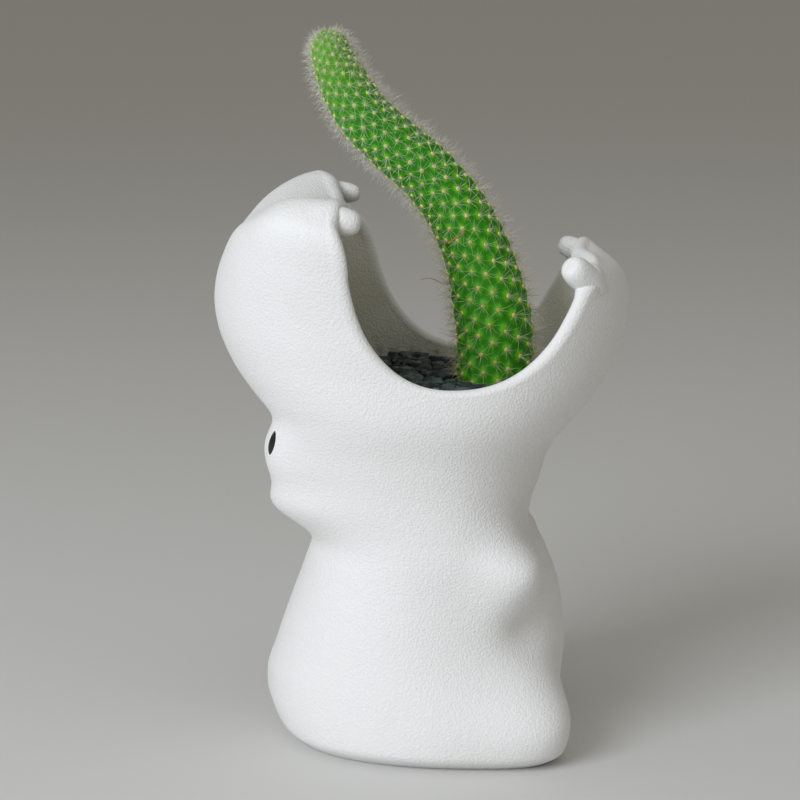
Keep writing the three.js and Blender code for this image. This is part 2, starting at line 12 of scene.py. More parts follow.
import bpy
import numpy as np
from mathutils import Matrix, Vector


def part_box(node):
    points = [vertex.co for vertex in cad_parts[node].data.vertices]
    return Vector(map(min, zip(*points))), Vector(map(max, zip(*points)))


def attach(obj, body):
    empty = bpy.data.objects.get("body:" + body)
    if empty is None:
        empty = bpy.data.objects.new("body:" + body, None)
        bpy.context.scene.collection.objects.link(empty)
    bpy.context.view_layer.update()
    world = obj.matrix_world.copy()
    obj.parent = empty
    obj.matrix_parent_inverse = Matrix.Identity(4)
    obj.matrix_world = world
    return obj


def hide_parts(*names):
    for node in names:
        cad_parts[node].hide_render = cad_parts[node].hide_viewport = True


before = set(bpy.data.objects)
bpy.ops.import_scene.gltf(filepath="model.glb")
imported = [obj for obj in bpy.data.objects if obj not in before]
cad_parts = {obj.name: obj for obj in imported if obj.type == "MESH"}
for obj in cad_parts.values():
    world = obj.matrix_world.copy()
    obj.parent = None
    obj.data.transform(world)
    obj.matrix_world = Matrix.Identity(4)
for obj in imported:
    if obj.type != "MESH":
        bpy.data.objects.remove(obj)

Array = np.ndarray
Stations = tuple[tuple[float, float], ...]
Triple = tuple[float, float, float]
Tree = bpy.types.ShaderNodeTree
Node = bpy.types.Node
Piece = bpy.types.Object
Inputs = dict[str | int, object] | tuple[object, ...] | list[object]

MM = 0.001
BODY = "root"
LOG = logging.getLogger("hippo_pot")
FULL_TURN = 2 * math.pi
# How often a search halves its range: enough for any length in millimetres.
HALVINGS = 40
# The output that a finish reads of a node, where it isn't the node's first.
MAIN_OUTPUTS = {"ShaderNodeTexCoord": "Object", "ShaderNodeAttribute": "Fac", "ShaderNodeMix": 2}
# A Mix node that mixes colours, and its inputs for the share of the second and for the two colours.
COLOURS = {"data_type": "RGBA"}
SHARE, FIRST, SECOND = 0, 6, 7
# A Map Range node that eases a value in and out: its inputs are the value, the range it has and a new range.
EASED = {"interpolation_type": "SMOOTHSTEP"}


class Hand(Enum):
    """The animal's two sides, as the sign of Y."""

    LEFT = 1
    RIGHT = -1


class Jaw(Enum):
    """The two jaws, as the way their teeth point along X."""

    UPPER = 1
    LOWER = -1


def linear(colour: str) -> tuple[float, float, float, float]:
    """Turns an sRGB hex colour to linear light with full alpha.

    Args:
        colour: a colour such as "#EDEBE6".

    Returns:
        Red, green, blue and alpha.
    """
    shares = np.array([int(colour[i:i + 2], 16) for i in (1, 3, 5)]) / 255
    light = np.where(shares <= 0.04045, shares / 12.92, ((shares + 0.055) / 1.055) ** 2.4)
    return (*light.tolist(), 1.0)


def cycles(size: float) -> float:
    """Returns the scale that gives a texture features of a size in millimetres."""
    return 1 / (size * MM)


def unit(ways: Array) -> Array:
    """Returns directions at length 1."""
    return ways / np.linalg.norm(ways, axis=-1, keepdims=True)


def circle(count: int) -> Array:
    """Returns angles evenly round a circle."""
    return np.linspace(0, FULL_TURN, count, endpoint=False)


def add_node(tree: Tree, kind: str, inputs: Inputs = (), **settings: object) -> Node:
    """Adds one shader node with its settings, values and links.

    Args:
        tree: the material's nodes.
        kind: the node's type, without "ShaderNode".
        inputs: what its inputs read, in order or by name: numbers, hex colours, or nodes or sockets.
        settings: properties of the node.

    Returns:
        The new node.
    """
    node = tree.nodes.new(f"ShaderNode{kind}")
    for name, value in settings.items():
        setattr(node, name, value)
    for name, value in inputs.items() if isinstance(inputs, dict) else enumerate(inputs):
        if isinstance(value, bpy.types.Node):
            value = value.outputs[MAIN_OUTPUTS.get(value.bl_idname, 0)]
        if isinstance(value, bpy.types.NodeSocket):
            tree.links.new(value, node.inputs[name])
        else:
            node.inputs[name].default_value = linear(value) if isinstance(value, str) else value
    return node


def grid_faces(rows: int, columns: int, closed: bool = False) -> Array:
    """Joins a grid of points, whose columns run round and meet, with four-cornered faces.

    Args:
        rows: number of rings.
        columns: points in each ring.
        closed: whether the last ring joins on to the first.

    Returns:
        Point numbers, one row of four for each face.
    """
    row = np.arange(rows if closed else rows - 1)[:, None] * columns
    above = (row + columns) % (rows * columns)
    here = np.arange(columns)[None, :]
    beside = (here + 1) % columns
    corners = np.broadcast_arrays(row + here, row + beside, above + beside, above + here)
    return np.stack(corners, axis=-1).reshape(-1, 4)


def capped(rings: Array) -> tuple[Array, list[Array]]:
    """Joins rings into tubes that a fan closes at each end.

    Args:
        rings: points as tube, ring, place in the ring and coordinate.

    Returns:
        All points, and the four- and three-cornered faces.
    """
    tubes, rows, columns = rings.shape[:3]
    ends = rings[:, [0, -1]].mean(axis=2)
    points = np.concatenate([rings.reshape(tubes, -1, 3), ends], axis=1)
    here = np.arange(columns)
    beside = (here + 1) % columns
    first = np.full(columns, rows * columns)
    top = (rows - 1) * columns
    fans = [np.stack([first, beside, here], axis=1), np.stack([first + 1, top + here, top + beside], axis=1)]
    starts = np.arange(tubes)[:, None, None] * points.shape[1]
    quads = (grid_faces(rows, columns)[None] + starts).reshape(-1, 4)
    triangles = (np.concatenate(fans)[None] + starts).reshape(-1, 3)
    return points.reshape(-1, 3), [quads, triangles]


def tube(path: Array, widths: Array, sides: int = 7) -> tuple[Array, list[Array]]:
    """Carries a round section of changing width along a path.

    Args:
        path: points of its middle.
        widths: its radius at each.
        sides: points round it.

    Returns:
        Points and faces.
    """
    ahead = unit(np.gradient(path, axis=0))
    # A slanting way, along which no path here runs, finds the ways across it.
    side = unit(np.cross(ahead, [0.2, 0.3, 0.93]))
    angle = circle(sides)[:, None]
    disc = np.cos(angle) * side[:, None] + np.sin(angle) * np.cross(ahead, side)[:, None]
    return capped((path[:, None] + widths[:, None, None] * disc)[None])


def add_piece(name: str, points: Array, faces: list[Array], finish: "Finish",
              stands_for: tuple[str, ...] = (), sharp: float | None = None, **values: Array) -> Piece:
    """Makes a piece of the object that rides on its one body.

    Args:
        name: the piece's name.
        points: its points in millimetres, one row each.
        faces: blocks of point numbers, each block with one number of corners.
        finish: what its surface is.
        stands_for: the solids that it replaces.
        sharp: the angle in degrees past which an edge stays sharp.
        values: a number for each point, for the finish to read by name.

    Returns:
        The new object.
    """
    mesh = bpy.data.meshes.new(name)
    corners = np.concatenate([block.ravel() for block in faces]).astype(np.int32)
    sides = np.concatenate([np.full(len(block), block.shape[1]) for block in faces]).astype(np.int32)
    mesh.vertices.add(len(points))
    mesh.vertices.foreach_set("co", (points * MM).astype(np.float32).ravel())
    mesh.loops.add(len(corners))
    mesh.loops.foreach_set("vertex_index", corners)
    mesh.polygons.add(len(sides))
    mesh.polygons.foreach_set("loop_start", np.concatenate([[0], np.cumsum(sides)[:-1]]).astype(np.int32))
    mesh.polygons.foreach_set("loop_total", sides)
    mesh.polygons.foreach_set("use_smooth", np.ones(len(sides), dtype=bool))
    mesh.update(calc_edges=True)
    mesh.validate()
    if sharp is not None:
        mesh.set_sharp_from_angle(angle=math.radians(sharp))
    for value_name, numbers in values.items():
        layer = mesh.attributes.new(value_name, "FLOAT", "POINT")
        layer.data.foreach_set("value", np.ascontiguousarray(numbers, dtype=np.float32).ravel())
    mesh.materials.append(finish.material())
    piece = bpy.data.objects.new(name, mesh)
    bpy.context.scene.collection.objects.link(piece)
    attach(piece, BODY)
    if stands_for:
        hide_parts(*stands_for)
    return piece


class SmoothLine:
    """A smooth line through (place, value) stations: a cubic between each two, which never overshoots."""

    def __init__(self, stations: Stations) -> None:
        """Sets each slope to a weighted harmonic mean of the grades beside it, or to 0 at a turning point.

        Args:
            stations: places in rising order, with the value at each.
        """
        self.places, self.values = np.array(stations, dtype=float).T
        steps = np.diff(self.places)
        grades = np.diff(self.values) / steps
        before = 2 * steps[1:] + steps[:-1]
        after = steps[1:] + 2 * steps[:-1]
        same_way = grades[:-1] * grades[1:] > 0
        low, high = (np.where(same_way, part, 1) for part in (grades[:-1], grades[1:]))
        mean = (before + after) / (before / low + after / high)
        self.slopes = np.concatenate([grades[:1], np.where(same_way, mean, 0), grades[-1:]])

    def __call__(self, place: Array) -> Array:
        """Reads the line.

        Args:
            place: places, which are held within the first and the last station.

        Returns:
            The value at each.
        """
        at = np.clip(place, self.places[0], self.places[-1])
        i = np.clip(np.searchsorted(self.places, at) - 1, 0, len(self.places) - 2)
        step = self.places[i + 1] - self.places[i]
        t = (at - self.places[i]) / step
        start = (1 + 2 * t) * self.values[i] + t * step * self.slopes[i]
        end = (3 - 2 * t) * self.values[i + 1] + (t - 1) * step * self.slopes[i + 1]
        return start * (1 - t) ** 2 + end * t ** 2


def level_where(test: Callable[[Array], Array], low: Array, high: Array) -> Array:
    """Finds by halving where a test turns true, for all places at once.

    Args:
        test: tells for each level whether it passes.
        low, high: levels between which each place's answer lies.

    Returns:
        The levels.
    """
    for _ in range(HALVINGS):
        middle = (low + high) / 2
        passed = test(middle)
        low, high = np.where(passed, low, middle), np.where(passed, middle, high)
    return low


@dataclass(frozen=True)
class Finish:
    """What a surface is made of.

    Attributes:
        name: the material's name.
        slot: the record's material slot; it is not used.
    """

    name: str
    slot: str

    def material(self) -> bpy.types.Material:
        """Makes the finish's material at its first use.

        Returns:
            The material.
        """
        made = bpy.data.materials.get(self.name)
        if made is None:
            made = bpy.data.materials.new(self.name)
            made.use_nodes = True
            tree = made.node_tree
            tree.nodes.clear()
            shader = add_node(tree, "BsdfPrincipled", self.lay(tree))
            add_node(tree, "OutputMaterial", {"Surface": shader})
        return made

    def lay(self, tree: Tree) -> dict[str, object]:
        """Lays the nodes of the finish.

        Args:
            tree: the material's nodes.

        Returns:
            What the surface shader's inputs read.
        """
        raise NotImplementedError


@dataclass(frozen=True)
class SandedCeramic(Finish):
    """Slip-cast stoneware under a matt white glaze with sand in it: pale, dull and finely pimpled.

    Attributes:
        sand, grit: widths of the glaze's pimples and of the finer grain on them.
        softness: how far the pimples run into each other, from 0 to 1.
        grit_share: how far the grain stands out, as a share of the pimples.
        pimple: how far those stand out.
        cloud: how wide the glaze's thicker and thinner places are.
        pit_spacing, pit: how far apart the burnt specks are, and how wide.
        dirt_line, dirt_fade: the height that splashed soil reaches up the bare inside, and its soft edge.
        splash: how wide a splash is.
    """

    name: str = "sanded_white_glaze"
    slot: str = "ceramic"
    glaze: str = "#EDEDEC"
    thin_glaze_and_hollow_shade: str = "#EBEAE8"
    bisque: str = "#ECE8DF"
    worn: str = "#D8D2C4"
    speck: str = "#3A3630"
    soil_stain: str = "#5B5244"
    sand: float = 0.75
    grit: float = 0.5
    softness: float = 0.6
    grit_share: float = 0.2
    pimple: float = 0.1
    cloud: float = 22.0
    pit_spacing: float = 24.0
    pit: float = 0.3
    dirt_line: float = 130.0
    dirt_fade: float = 14.0
    splash: float = 3.4

    def lay(self, tree: Tree) -> dict[str, object]:
        """Lays white glaze outside, bare bisque inside with a soil stain at its foot, specks and pimples.

        Args:
            tree: the material's nodes.

        Returns:
            What the surface shader's inputs read.
        """
        place = add_node(tree, "TexCoord")
        cells = {"Vector": place, "Scale": cycles(self.sand), "Smoothness": self.softness}
        sand = add_node(tree, "TexVoronoi", cells, feature="SMOOTH_F1")
        sand = add_node(tree, "MapRange", [sand, 0.1, 0.75, 1.0, 0.0], **EASED)
        grit = add_node(tree, "TexNoise", {"Vector": place, "Scale": cycles(self.grit), "Detail": 1.0})
        cloud = add_node(tree, "TexNoise", {"Vector": place, "Scale": cycles(self.cloud), "Detail": 3.0})
        # The glaze is greyed a little in the hollows between the pimples, away from their crests: painted
        # shade. Thinner glaze in broad patches takes the same grey.
        crests = add_node(tree, "MapRange", [sand, 0.3, 0.55], **EASED)
        glaze = add_node(tree, "Mix", {SHARE: crests, FIRST: self.thin_glaze_and_hollow_shade, SECOND: self.glaze}, **COLOURS)
        thin = add_node(tree, "MapRange", [cloud, 0.35, 0.75, 0.0, 0.35], **EASED)
        glaze = add_node(tree, "Mix", {SHARE: thin, FIRST: glaze, SECOND: self.thin_glaze_and_hollow_shade}, **COLOURS)
        wear = add_node(tree, "MapRange", [cloud, 0.3, 0.7, 0.0, 0.5], **EASED)
        bisque = add_node(tree, "Mix", {SHARE: wear, FIRST: self.bisque, SECOND: self.worn}, **COLOURS)
        height = add_node(tree, "SeparateXYZ", {"Vector": place}).outputs["Z"]
        top = self.dirt_line * MM
        low = add_node(tree, "MapRange", [height, top - self.dirt_fade * MM, top, 1.0, 0.0], **EASED)
        splash = add_node(tree, "TexNoise", {"Vector": place, "Scale": cycles(self.splash), "Detail": 4.0})
        splash = add_node(tree, "MapRange", [splash, 0.5, 0.68, 0.0, 0.65], **EASED)
        stain = add_node(tree, "Math", [low, splash], operation="MULTIPLY")
        bisque = add_node(tree, "Mix", {SHARE: stain, FIRST: bisque, SECOND: self.soil_stain}, **COLOURS)
        inner = add_node(tree, "Attribute", attribute_name="inner")
        colour = add_node(tree, "Mix", {SHARE: inner, FIRST: glaze, SECOND: bisque}, **COLOURS)
        pits = add_node(tree, "TexVoronoi", {"Vector": place, "Scale": cycles(self.pit_spacing)})
        edge = self.pit / self.pit_spacing
        pits = add_node(tree, "MapRange", [pits, 0.6 * edge, 1.3 * edge, 1.0, 0.0], **EASED)
        colour = add_node(tree, "Mix", {SHARE: pits, FIRST: colour, SECOND: self.speck}, **COLOURS)
        rough = add_node(tree, "MapRange", [sand, 0.3, 0.7, 0.72, 0.58], **EASED)
        relief = add_node(tree, "Math", [grit, self.grit_share, sand], operation="MULTIPLY_ADD")
        bump = add_node(tree, "Bump", {"Height": relief, "Distance": self.pimple * MM})
        return {"Base Color": colour, "Roughness": rough, "Normal": bump}


@dataclass(frozen=True)
class BlackGlaze(Finish):
    """Black glaze brushed on and fired to half gloss: it shows the lamps faintly.

    Attributes:
        streak: how wide a brush streak is.
        ridge: how far it stands out.
    """

    name: str = "black_brushed_glaze"
    slot: str = "eye_glaze"
    colour: str = "#0C0C0E"
    thin: str = "#17171A"
    streak: float = 2.2
    ridge: float = 0.05

    def lay(self, tree: Tree) -> dict[str, object]:
        """Lays a black of half gloss with faint brush streaks.

        Args:
            tree: the material's nodes.

        Returns:
            What the surface shader's inputs read.
        """
        place = add_node(tree, "TexCoord")
        streaks = add_node(tree, "TexNoise", {"Vector": place, "Scale": cycles(self.streak)})
        colour = add_node(tree, "Mix", {SHARE: streaks, FIRST: self.colour, SECOND: self.thin}, **COLOURS)
        rough = add_node(tree, "MapRange", [streaks, 0.3, 0.7, 0.25, 0.4], **EASED)
        bump = add_node(tree, "Bump", {"Height": streaks, "Distance": self.ridge * MM})
        return {"Base Color": colour, "Roughness": rough, "Normal": bump}


@dataclass(frozen=True)
class CactusSkin(Finish):
    """Waxy cactus skin: fresh green on the knobs, with painted shade darkening the furrows between them, a
    dull shine and corky foot.

    Attributes:
        cloud, fleck, pore: widths of the darker patches, of the pale flecks and of the pores.
        pore_depth: how deep a pore is.
        wax: how strongly the wax mirrors light.
    """

    name: str = "waxy_cactus_skin"
    slot: str = "cactus"
    knob: str = "#66B41A"
    furrow_shade_and_dark_patch: str = "#2A800E"
    young: str = "#84BC34"
    cork: str = "#6B6534"
    cloud: float = 7.0
    fleck: float = 0.7
    pore: float = 0.9
    pore_depth: float = 0.1
    wax: float = 0.16

    def lay(self, tree: Tree) -> dict[str, object]:
        """Lays greens by the skin's crest, with painted shade in the furrows, and by its age, with pale
        flecks and a fine bump.

        Args:
            tree: the material's nodes.

        Returns:
            What the surface shader's inputs read.
        """
        place = add_node(tree, "TexCoord")
        crest = add_node(tree, "Attribute", attribute_name="crest")
        age = add_node(tree, "Attribute", attribute_name="age")
        # The furrows between the knobs are painted a darker green: painted shade. Random darker patches take
        # the same green.
        crest = add_node(tree, "MapRange", [crest, -0.5, 0.8], **EASED)
        green = add_node(tree, "Mix", {SHARE: crest, FIRST: self.furrow_shade_and_dark_patch, SECOND: self.knob}, **COLOURS)
        cloud = add_node(tree, "TexNoise", {"Vector": place, "Scale": cycles(self.cloud), "Detail": 3.0})
        dark = add_node(tree, "MapRange", [cloud, 0.42, 0.7, 0.0, 0.55], **EASED)
        green = add_node(tree, "Mix", {SHARE: dark, FIRST: green, SECOND: self.furrow_shade_and_dark_patch}, **COLOURS)
        fresh = add_node(tree, "MapRange", [age, 0.75, 1.0, 0.0, 0.4], **EASED)
        green = add_node(tree, "Mix", {SHARE: fresh, FIRST: green, SECOND: self.young}, **COLOURS)
        fleck = add_node(tree, "TexNoise", {"Vector": place, "Scale": cycles(self.fleck), "Detail": 1.0})
        fleck = add_node(tree, "MapRange", [fleck, 0.62, 0.75, 0.0, 0.35], **EASED)
        green = add_node(tree, "Mix", {SHARE: fleck, FIRST: green, SECOND: self.young}, **COLOURS)
        foot = add_node(tree, "MapRange", [age, 0.0, 0.09, 0.75, 0.0], **EASED)
        foot = add_node(tree, "Math", [foot, cloud], operation="MULTIPLY")
        green = add_node(tree, "Mix", {SHARE: foot, FIRST: green, SECOND: self.cork}, **COLOURS)
        rough = add_node(tree, "MapRange", [cloud, 0.3, 0.7, 0.5, 0.64], **EASED)
        pores = add_node(tree, "TexNoise", {"Vector": place, "Scale": cycles(self.pore), "Detail": 3.0})
        bump = add_node(tree, "Bump", {"Height": pores, "Distance": self.pore_depth * MM})
        return {"Base Color": green, "Roughness": rough, "Specular IOR Level": self.wax, "Normal": bump}


@dataclass(frozen=True)
class AreoleWool(Finish):
    """The felt that a cactus's spines grow from: cream when young, tan when old, with no shine.

    Attributes:
        hair, hair_depth: width of a tuft of hairs and how far it stands out.
        roughness: that of dry felt.
    """

    name: str = "areole_wool"
    slot: str = "cactus"
    young: str = "#F3E790"
    old: str = "#DCC874"
    gap: str = "#9C7B45"
    hair: float = 0.5
    hair_depth: float = 0.3
    roughness: float = 0.95

    def lay(self, tree: Tree) -> dict[str, object]:
        """Lays felt that yellows with age, with a coarse bump.

        Args:
            tree: the material's nodes.

        Returns:
            What the surface shader's inputs read.
        """
        place = add_node(tree, "TexCoord")
        felt = add_node(tree, "TexNoise", {"Vector": place, "Scale": cycles(self.hair), "Detail": 3.0})
        age = add_node(tree, "Attribute", attribute_name="age")
        age = add_node(tree, "MapRange", [age, 0.0, 0.6], **EASED)
        colour = add_node(tree, "Mix", {SHARE: age, FIRST: self.old, SECOND: self.young}, **COLOURS)
        gaps = add_node(tree, "MapRange", [felt, 0.45, 0.75, 0.0, 0.5], **EASED)
        colour = add_node(tree, "Mix", {SHARE: gaps, FIRST: colour, SECOND: self.gap}, **COLOURS)
        bump = add_node(tree, "Bump", {"Height": felt, "Distance": self.hair_depth * MM})
        return {"Base Color": colour, "Roughness": self.roughness, "Normal": bump}


@dataclass(frozen=True)
class SpineHorn(Finish):
    """Cactus spines: thin pale horn that light passes through, straw-coloured low down and whiter above.

    Attributes:
        patch: how far apart paler and darker spines are.
        roughness: that of smooth horn.
        body: how much of the light a spine stops.
    """

    name: str = "spine_horn"
    slot: str = "cactus"
    young: str = "#FBFAF2"
    old: str = "#EDE8C8"
    straw: str = "#C3B98C"
    patch: float = 2.0
    roughness: float = 0.5
    body: float = 0.58

    def lay(self, tree: Tree) -> dict[str, object]:
        """Lays pale horn that varies from spine to spine.

        Args:
            tree: the material's nodes.

        Returns:
            What the surface shader's inputs read.
        """
        place = add_node(tree, "TexCoord")
        tint = add_node(tree, "TexNoise", {"Vector": place, "Scale": cycles(self.patch), "Detail": 0.0})
        age = add_node(tree, "Attribute", attribute_name="age")
        age = add_node(tree, "MapRange", [age, 0.1, 0.8], **EASED)
        colour = add_node(tree, "Mix", {SHARE: age, FIRST: self.old, SECOND: self.young}, **COLOURS)
        tint = add_node(tree, "MapRange", [tint, 0.4, 0.7, 0.0, 0.4], **EASED)
        colour = add_node(tree, "Mix", {SHARE: tint, FIRST: colour, SECOND: self.straw}, **COLOURS)
        return {"Base Color": colour, "Roughness": self.roughness, "Alpha": self.body}


@dataclass(frozen=True)
class DryCork(Finish):
    """Dried scar tissue and withered fibre: brown to amber, dull and stringy.

    Attributes:
        fibre, fibre_depth: width of a fibre and how far it stands out.
        roughness: that of cork.
    """

    name: str = "dry_cork"
    slot: str = "cactus"
    light: str = "#B98A32"
    dark: str = "#6A4A22"
    fibre: float = 0.8
    fibre_depth: float = 0.2
    roughness: float = 0.8

    def lay(self, tree: Tree) -> dict[str, object]:
        """Lays brown in streaks.

        Args:
            tree: the material's nodes.

        Returns:
            What the surface shader's inputs read.
        """
        place = add_node(tree, "TexCoord")
        fibre = add_node(tree, "TexNoise", {"Vector": place, "Scale": cycles(self.fibre), "Detail": 3.0})
        streaks = add_node(tree, "MapRange", [fibre, 0.35, 0.65], **EASED)
        colour = add_node(tree, "Mix", {SHARE: streaks, FIRST: self.dark, SECOND: self.light}, **COLOURS)
        bump = add_node(tree, "Bump", {"Height": fibre, "Distance": self.fibre_depth * MM})
        return {"Base Color": colour, "Roughness": self.roughness, "Normal": bump}


@dataclass(frozen=True)
class BrokenSlate(Finish):
    """Slate broken into chips: dark blue-grey to green-grey, dull, split in fine layers.

    Attributes:
        cloud, dust_patch: widths of the darker patches and of the patches of dust.
        layer, layer_depth: width of a split layer, drawn coarse enough to show, and its step.
        layer_warp: how far the layers are bent out of line.
    """

    name: str = "broken_slate"
    slot: str = "slate"
    dark: str = "#20272A"
    light: str = "#74827F"
    dust: str = "#857E70"
    cloud: float = 3.0
    dust_patch: float = 1.1
    layer: float = 0.8
    layer_depth: float = 0.35
    layer_warp: float = 0.6

    def lay(self, tree: Tree) -> dict[str, object]:
        """Lays a grey that differs from chip to chip, with pale dust and split layers.

        Args:
            tree: the material's nodes.

        Returns:
            What the surface shader's inputs read.
        """
        place = add_node(tree, "TexCoord")
        cloud = add_node(tree, "TexNoise", {"Vector": place, "Scale": cycles(self.cloud), "Detail": 4.0})
        tint = add_node(tree, "Attribute", attribute_name="tint")
        colour = add_node(tree, "Mix", {SHARE: tint, FIRST: self.dark, SECOND: self.light}, **COLOURS)
        patch = add_node(tree, "MapRange", [cloud, 0.35, 0.7, 0.0, 0.6], **EASED)
        colour = add_node(tree, "Mix", {SHARE: patch, FIRST: colour, SECOND: self.dark}, **COLOURS)
        dust = add_node(tree, "TexNoise", {"Vector": place, "Scale": cycles(self.dust_patch), "Detail": 3.0})
        dust = add_node(tree, "MapRange", [dust, 0.58, 0.72, 0.0, 0.35], **EASED)
        colour = add_node(tree, "Mix", {SHARE: dust, FIRST: colour, SECOND: self.dust}, **COLOURS)
        rough = add_node(tree, "MapRange", [cloud, 0.3, 0.7, 0.55, 0.85], **EASED)
        split = {"Vector": place, "Scale": cycles(self.layer), "Detail": 4.0,
                 "Distortion": self.layer_warp}
        layers = add_node(tree, "TexNoise", split)
        bump = add_node(tree, "Bump", {"Height": layers, "Distance": self.layer_depth * MM})
        return {"Base Color": colour, "Roughness": rough, "Normal": bump}


@dataclass(frozen=True)
class LooseGround(Finish):
    """Loose grains packed together, as in soil, gravel or roots: lumps of two colours with painted shade in
    the gaps between them.

    Attributes:
        grain: how wide a grain is.
        first, second: the grains' two colours.
        gap: the painted shade between them.
        rise: how far a grain stands out, as a share of its width.
        roughness: that of dry earth.
    """

    grain: float = 1.6
    first: str = "#3B2F26"
    second: str = "#5A4B3C"
    gap: str = "#17120E"
    rise: float = 0.4
    roughness: float = 0.95

    def lay(self, tree: Tree) -> dict[str, object]:
        """Lays grains as cells with a colour each, lower at their edges and darkened there by painted shade.

        Args:
            tree: the material's nodes.

        Returns:
            What the surface shader's inputs read.
        """
        place = add_node(tree, "TexCoord")
        grains = add_node(tree, "TexVoronoi", {"Vector": place, "Scale": cycles(self.grain)})
        tint = add_node(tree, "SeparateColor", {"Color": grains.outputs["Color"]})
        edge = add_node(tree, "MapRange", [grains, 0.35, 0.75], **EASED)
        colour = add_node(tree, "Mix", {SHARE: tint, FIRST: self.first, SECOND: self.second}, **COLOURS)
        # The grains' edges are darkened towards the gap colour: painted shade between the grains.
        colour = add_node(tree, "Mix", {SHARE: edge, FIRST: colour, SECOND: self.gap}, **COLOURS)
        relief = add_node(tree, "MapRange", [edge, 0.0, 1.0, 1.0, 0.0], **EASED)
        bump = add_node(tree, "Bump", {"Height": relief, "Distance": self.rise * self.grain * MM})
        return {"Base Color": colour, "Roughness": self.roughness, "Normal": bump}


@dataclass(frozen=True)
class MouldedPlastic(Finish):
    """Injection-moulded plastic netting: dark, with a faint grain.

    Attributes:
        grain, grain_depth: width and depth of the mould's grain, drawn coarse enough to show.
        roughness: that of moulded plastic.
    """

    name: str = "moulded_netting"
    slot: str = "netting"
    colour: str = "#2E302E"
    pale: str = "#393C39"
    grain: float = 0.6
    grain_depth: float = 0.05
    roughness: float = 0.5

    def lay(self, tree: Tree) -> dict[str, object]:
        """Lays a dark plastic with a faint moulded grain.

        Args:
            tree: the material's nodes.

        Returns:
            What the surface shader's inputs read.
        """
        place = add_node(tree, "TexCoord")
        grain = add_node(tree, "TexNoise", {"Vector": place, "Scale": cycles(self.grain)})
        colour = add_node(tree, "Mix", {SHARE: grain, FIRST: self.colour, SECOND: self.pale}, **COLOURS)
        bump = add_node(tree, "Bump", {"Height": grain, "Distance": self.grain_depth * MM})
        return {"Base Color": colour, "Roughness": self.roughness, "Normal": bump}


@dataclass(frozen=True)
class Swelling:
    """A rounded swelling of the ceramic on both sides.

    Attributes:
        at, size: its middle on the left side, and its size along X, Y and Z.
        rise: how far it stands out, or in if below 0.
        left_share: its rise on the left as a share of that on the right.
    """

    at: Triple
    size: Triple
    rise: float
    left_share: float = 1.0


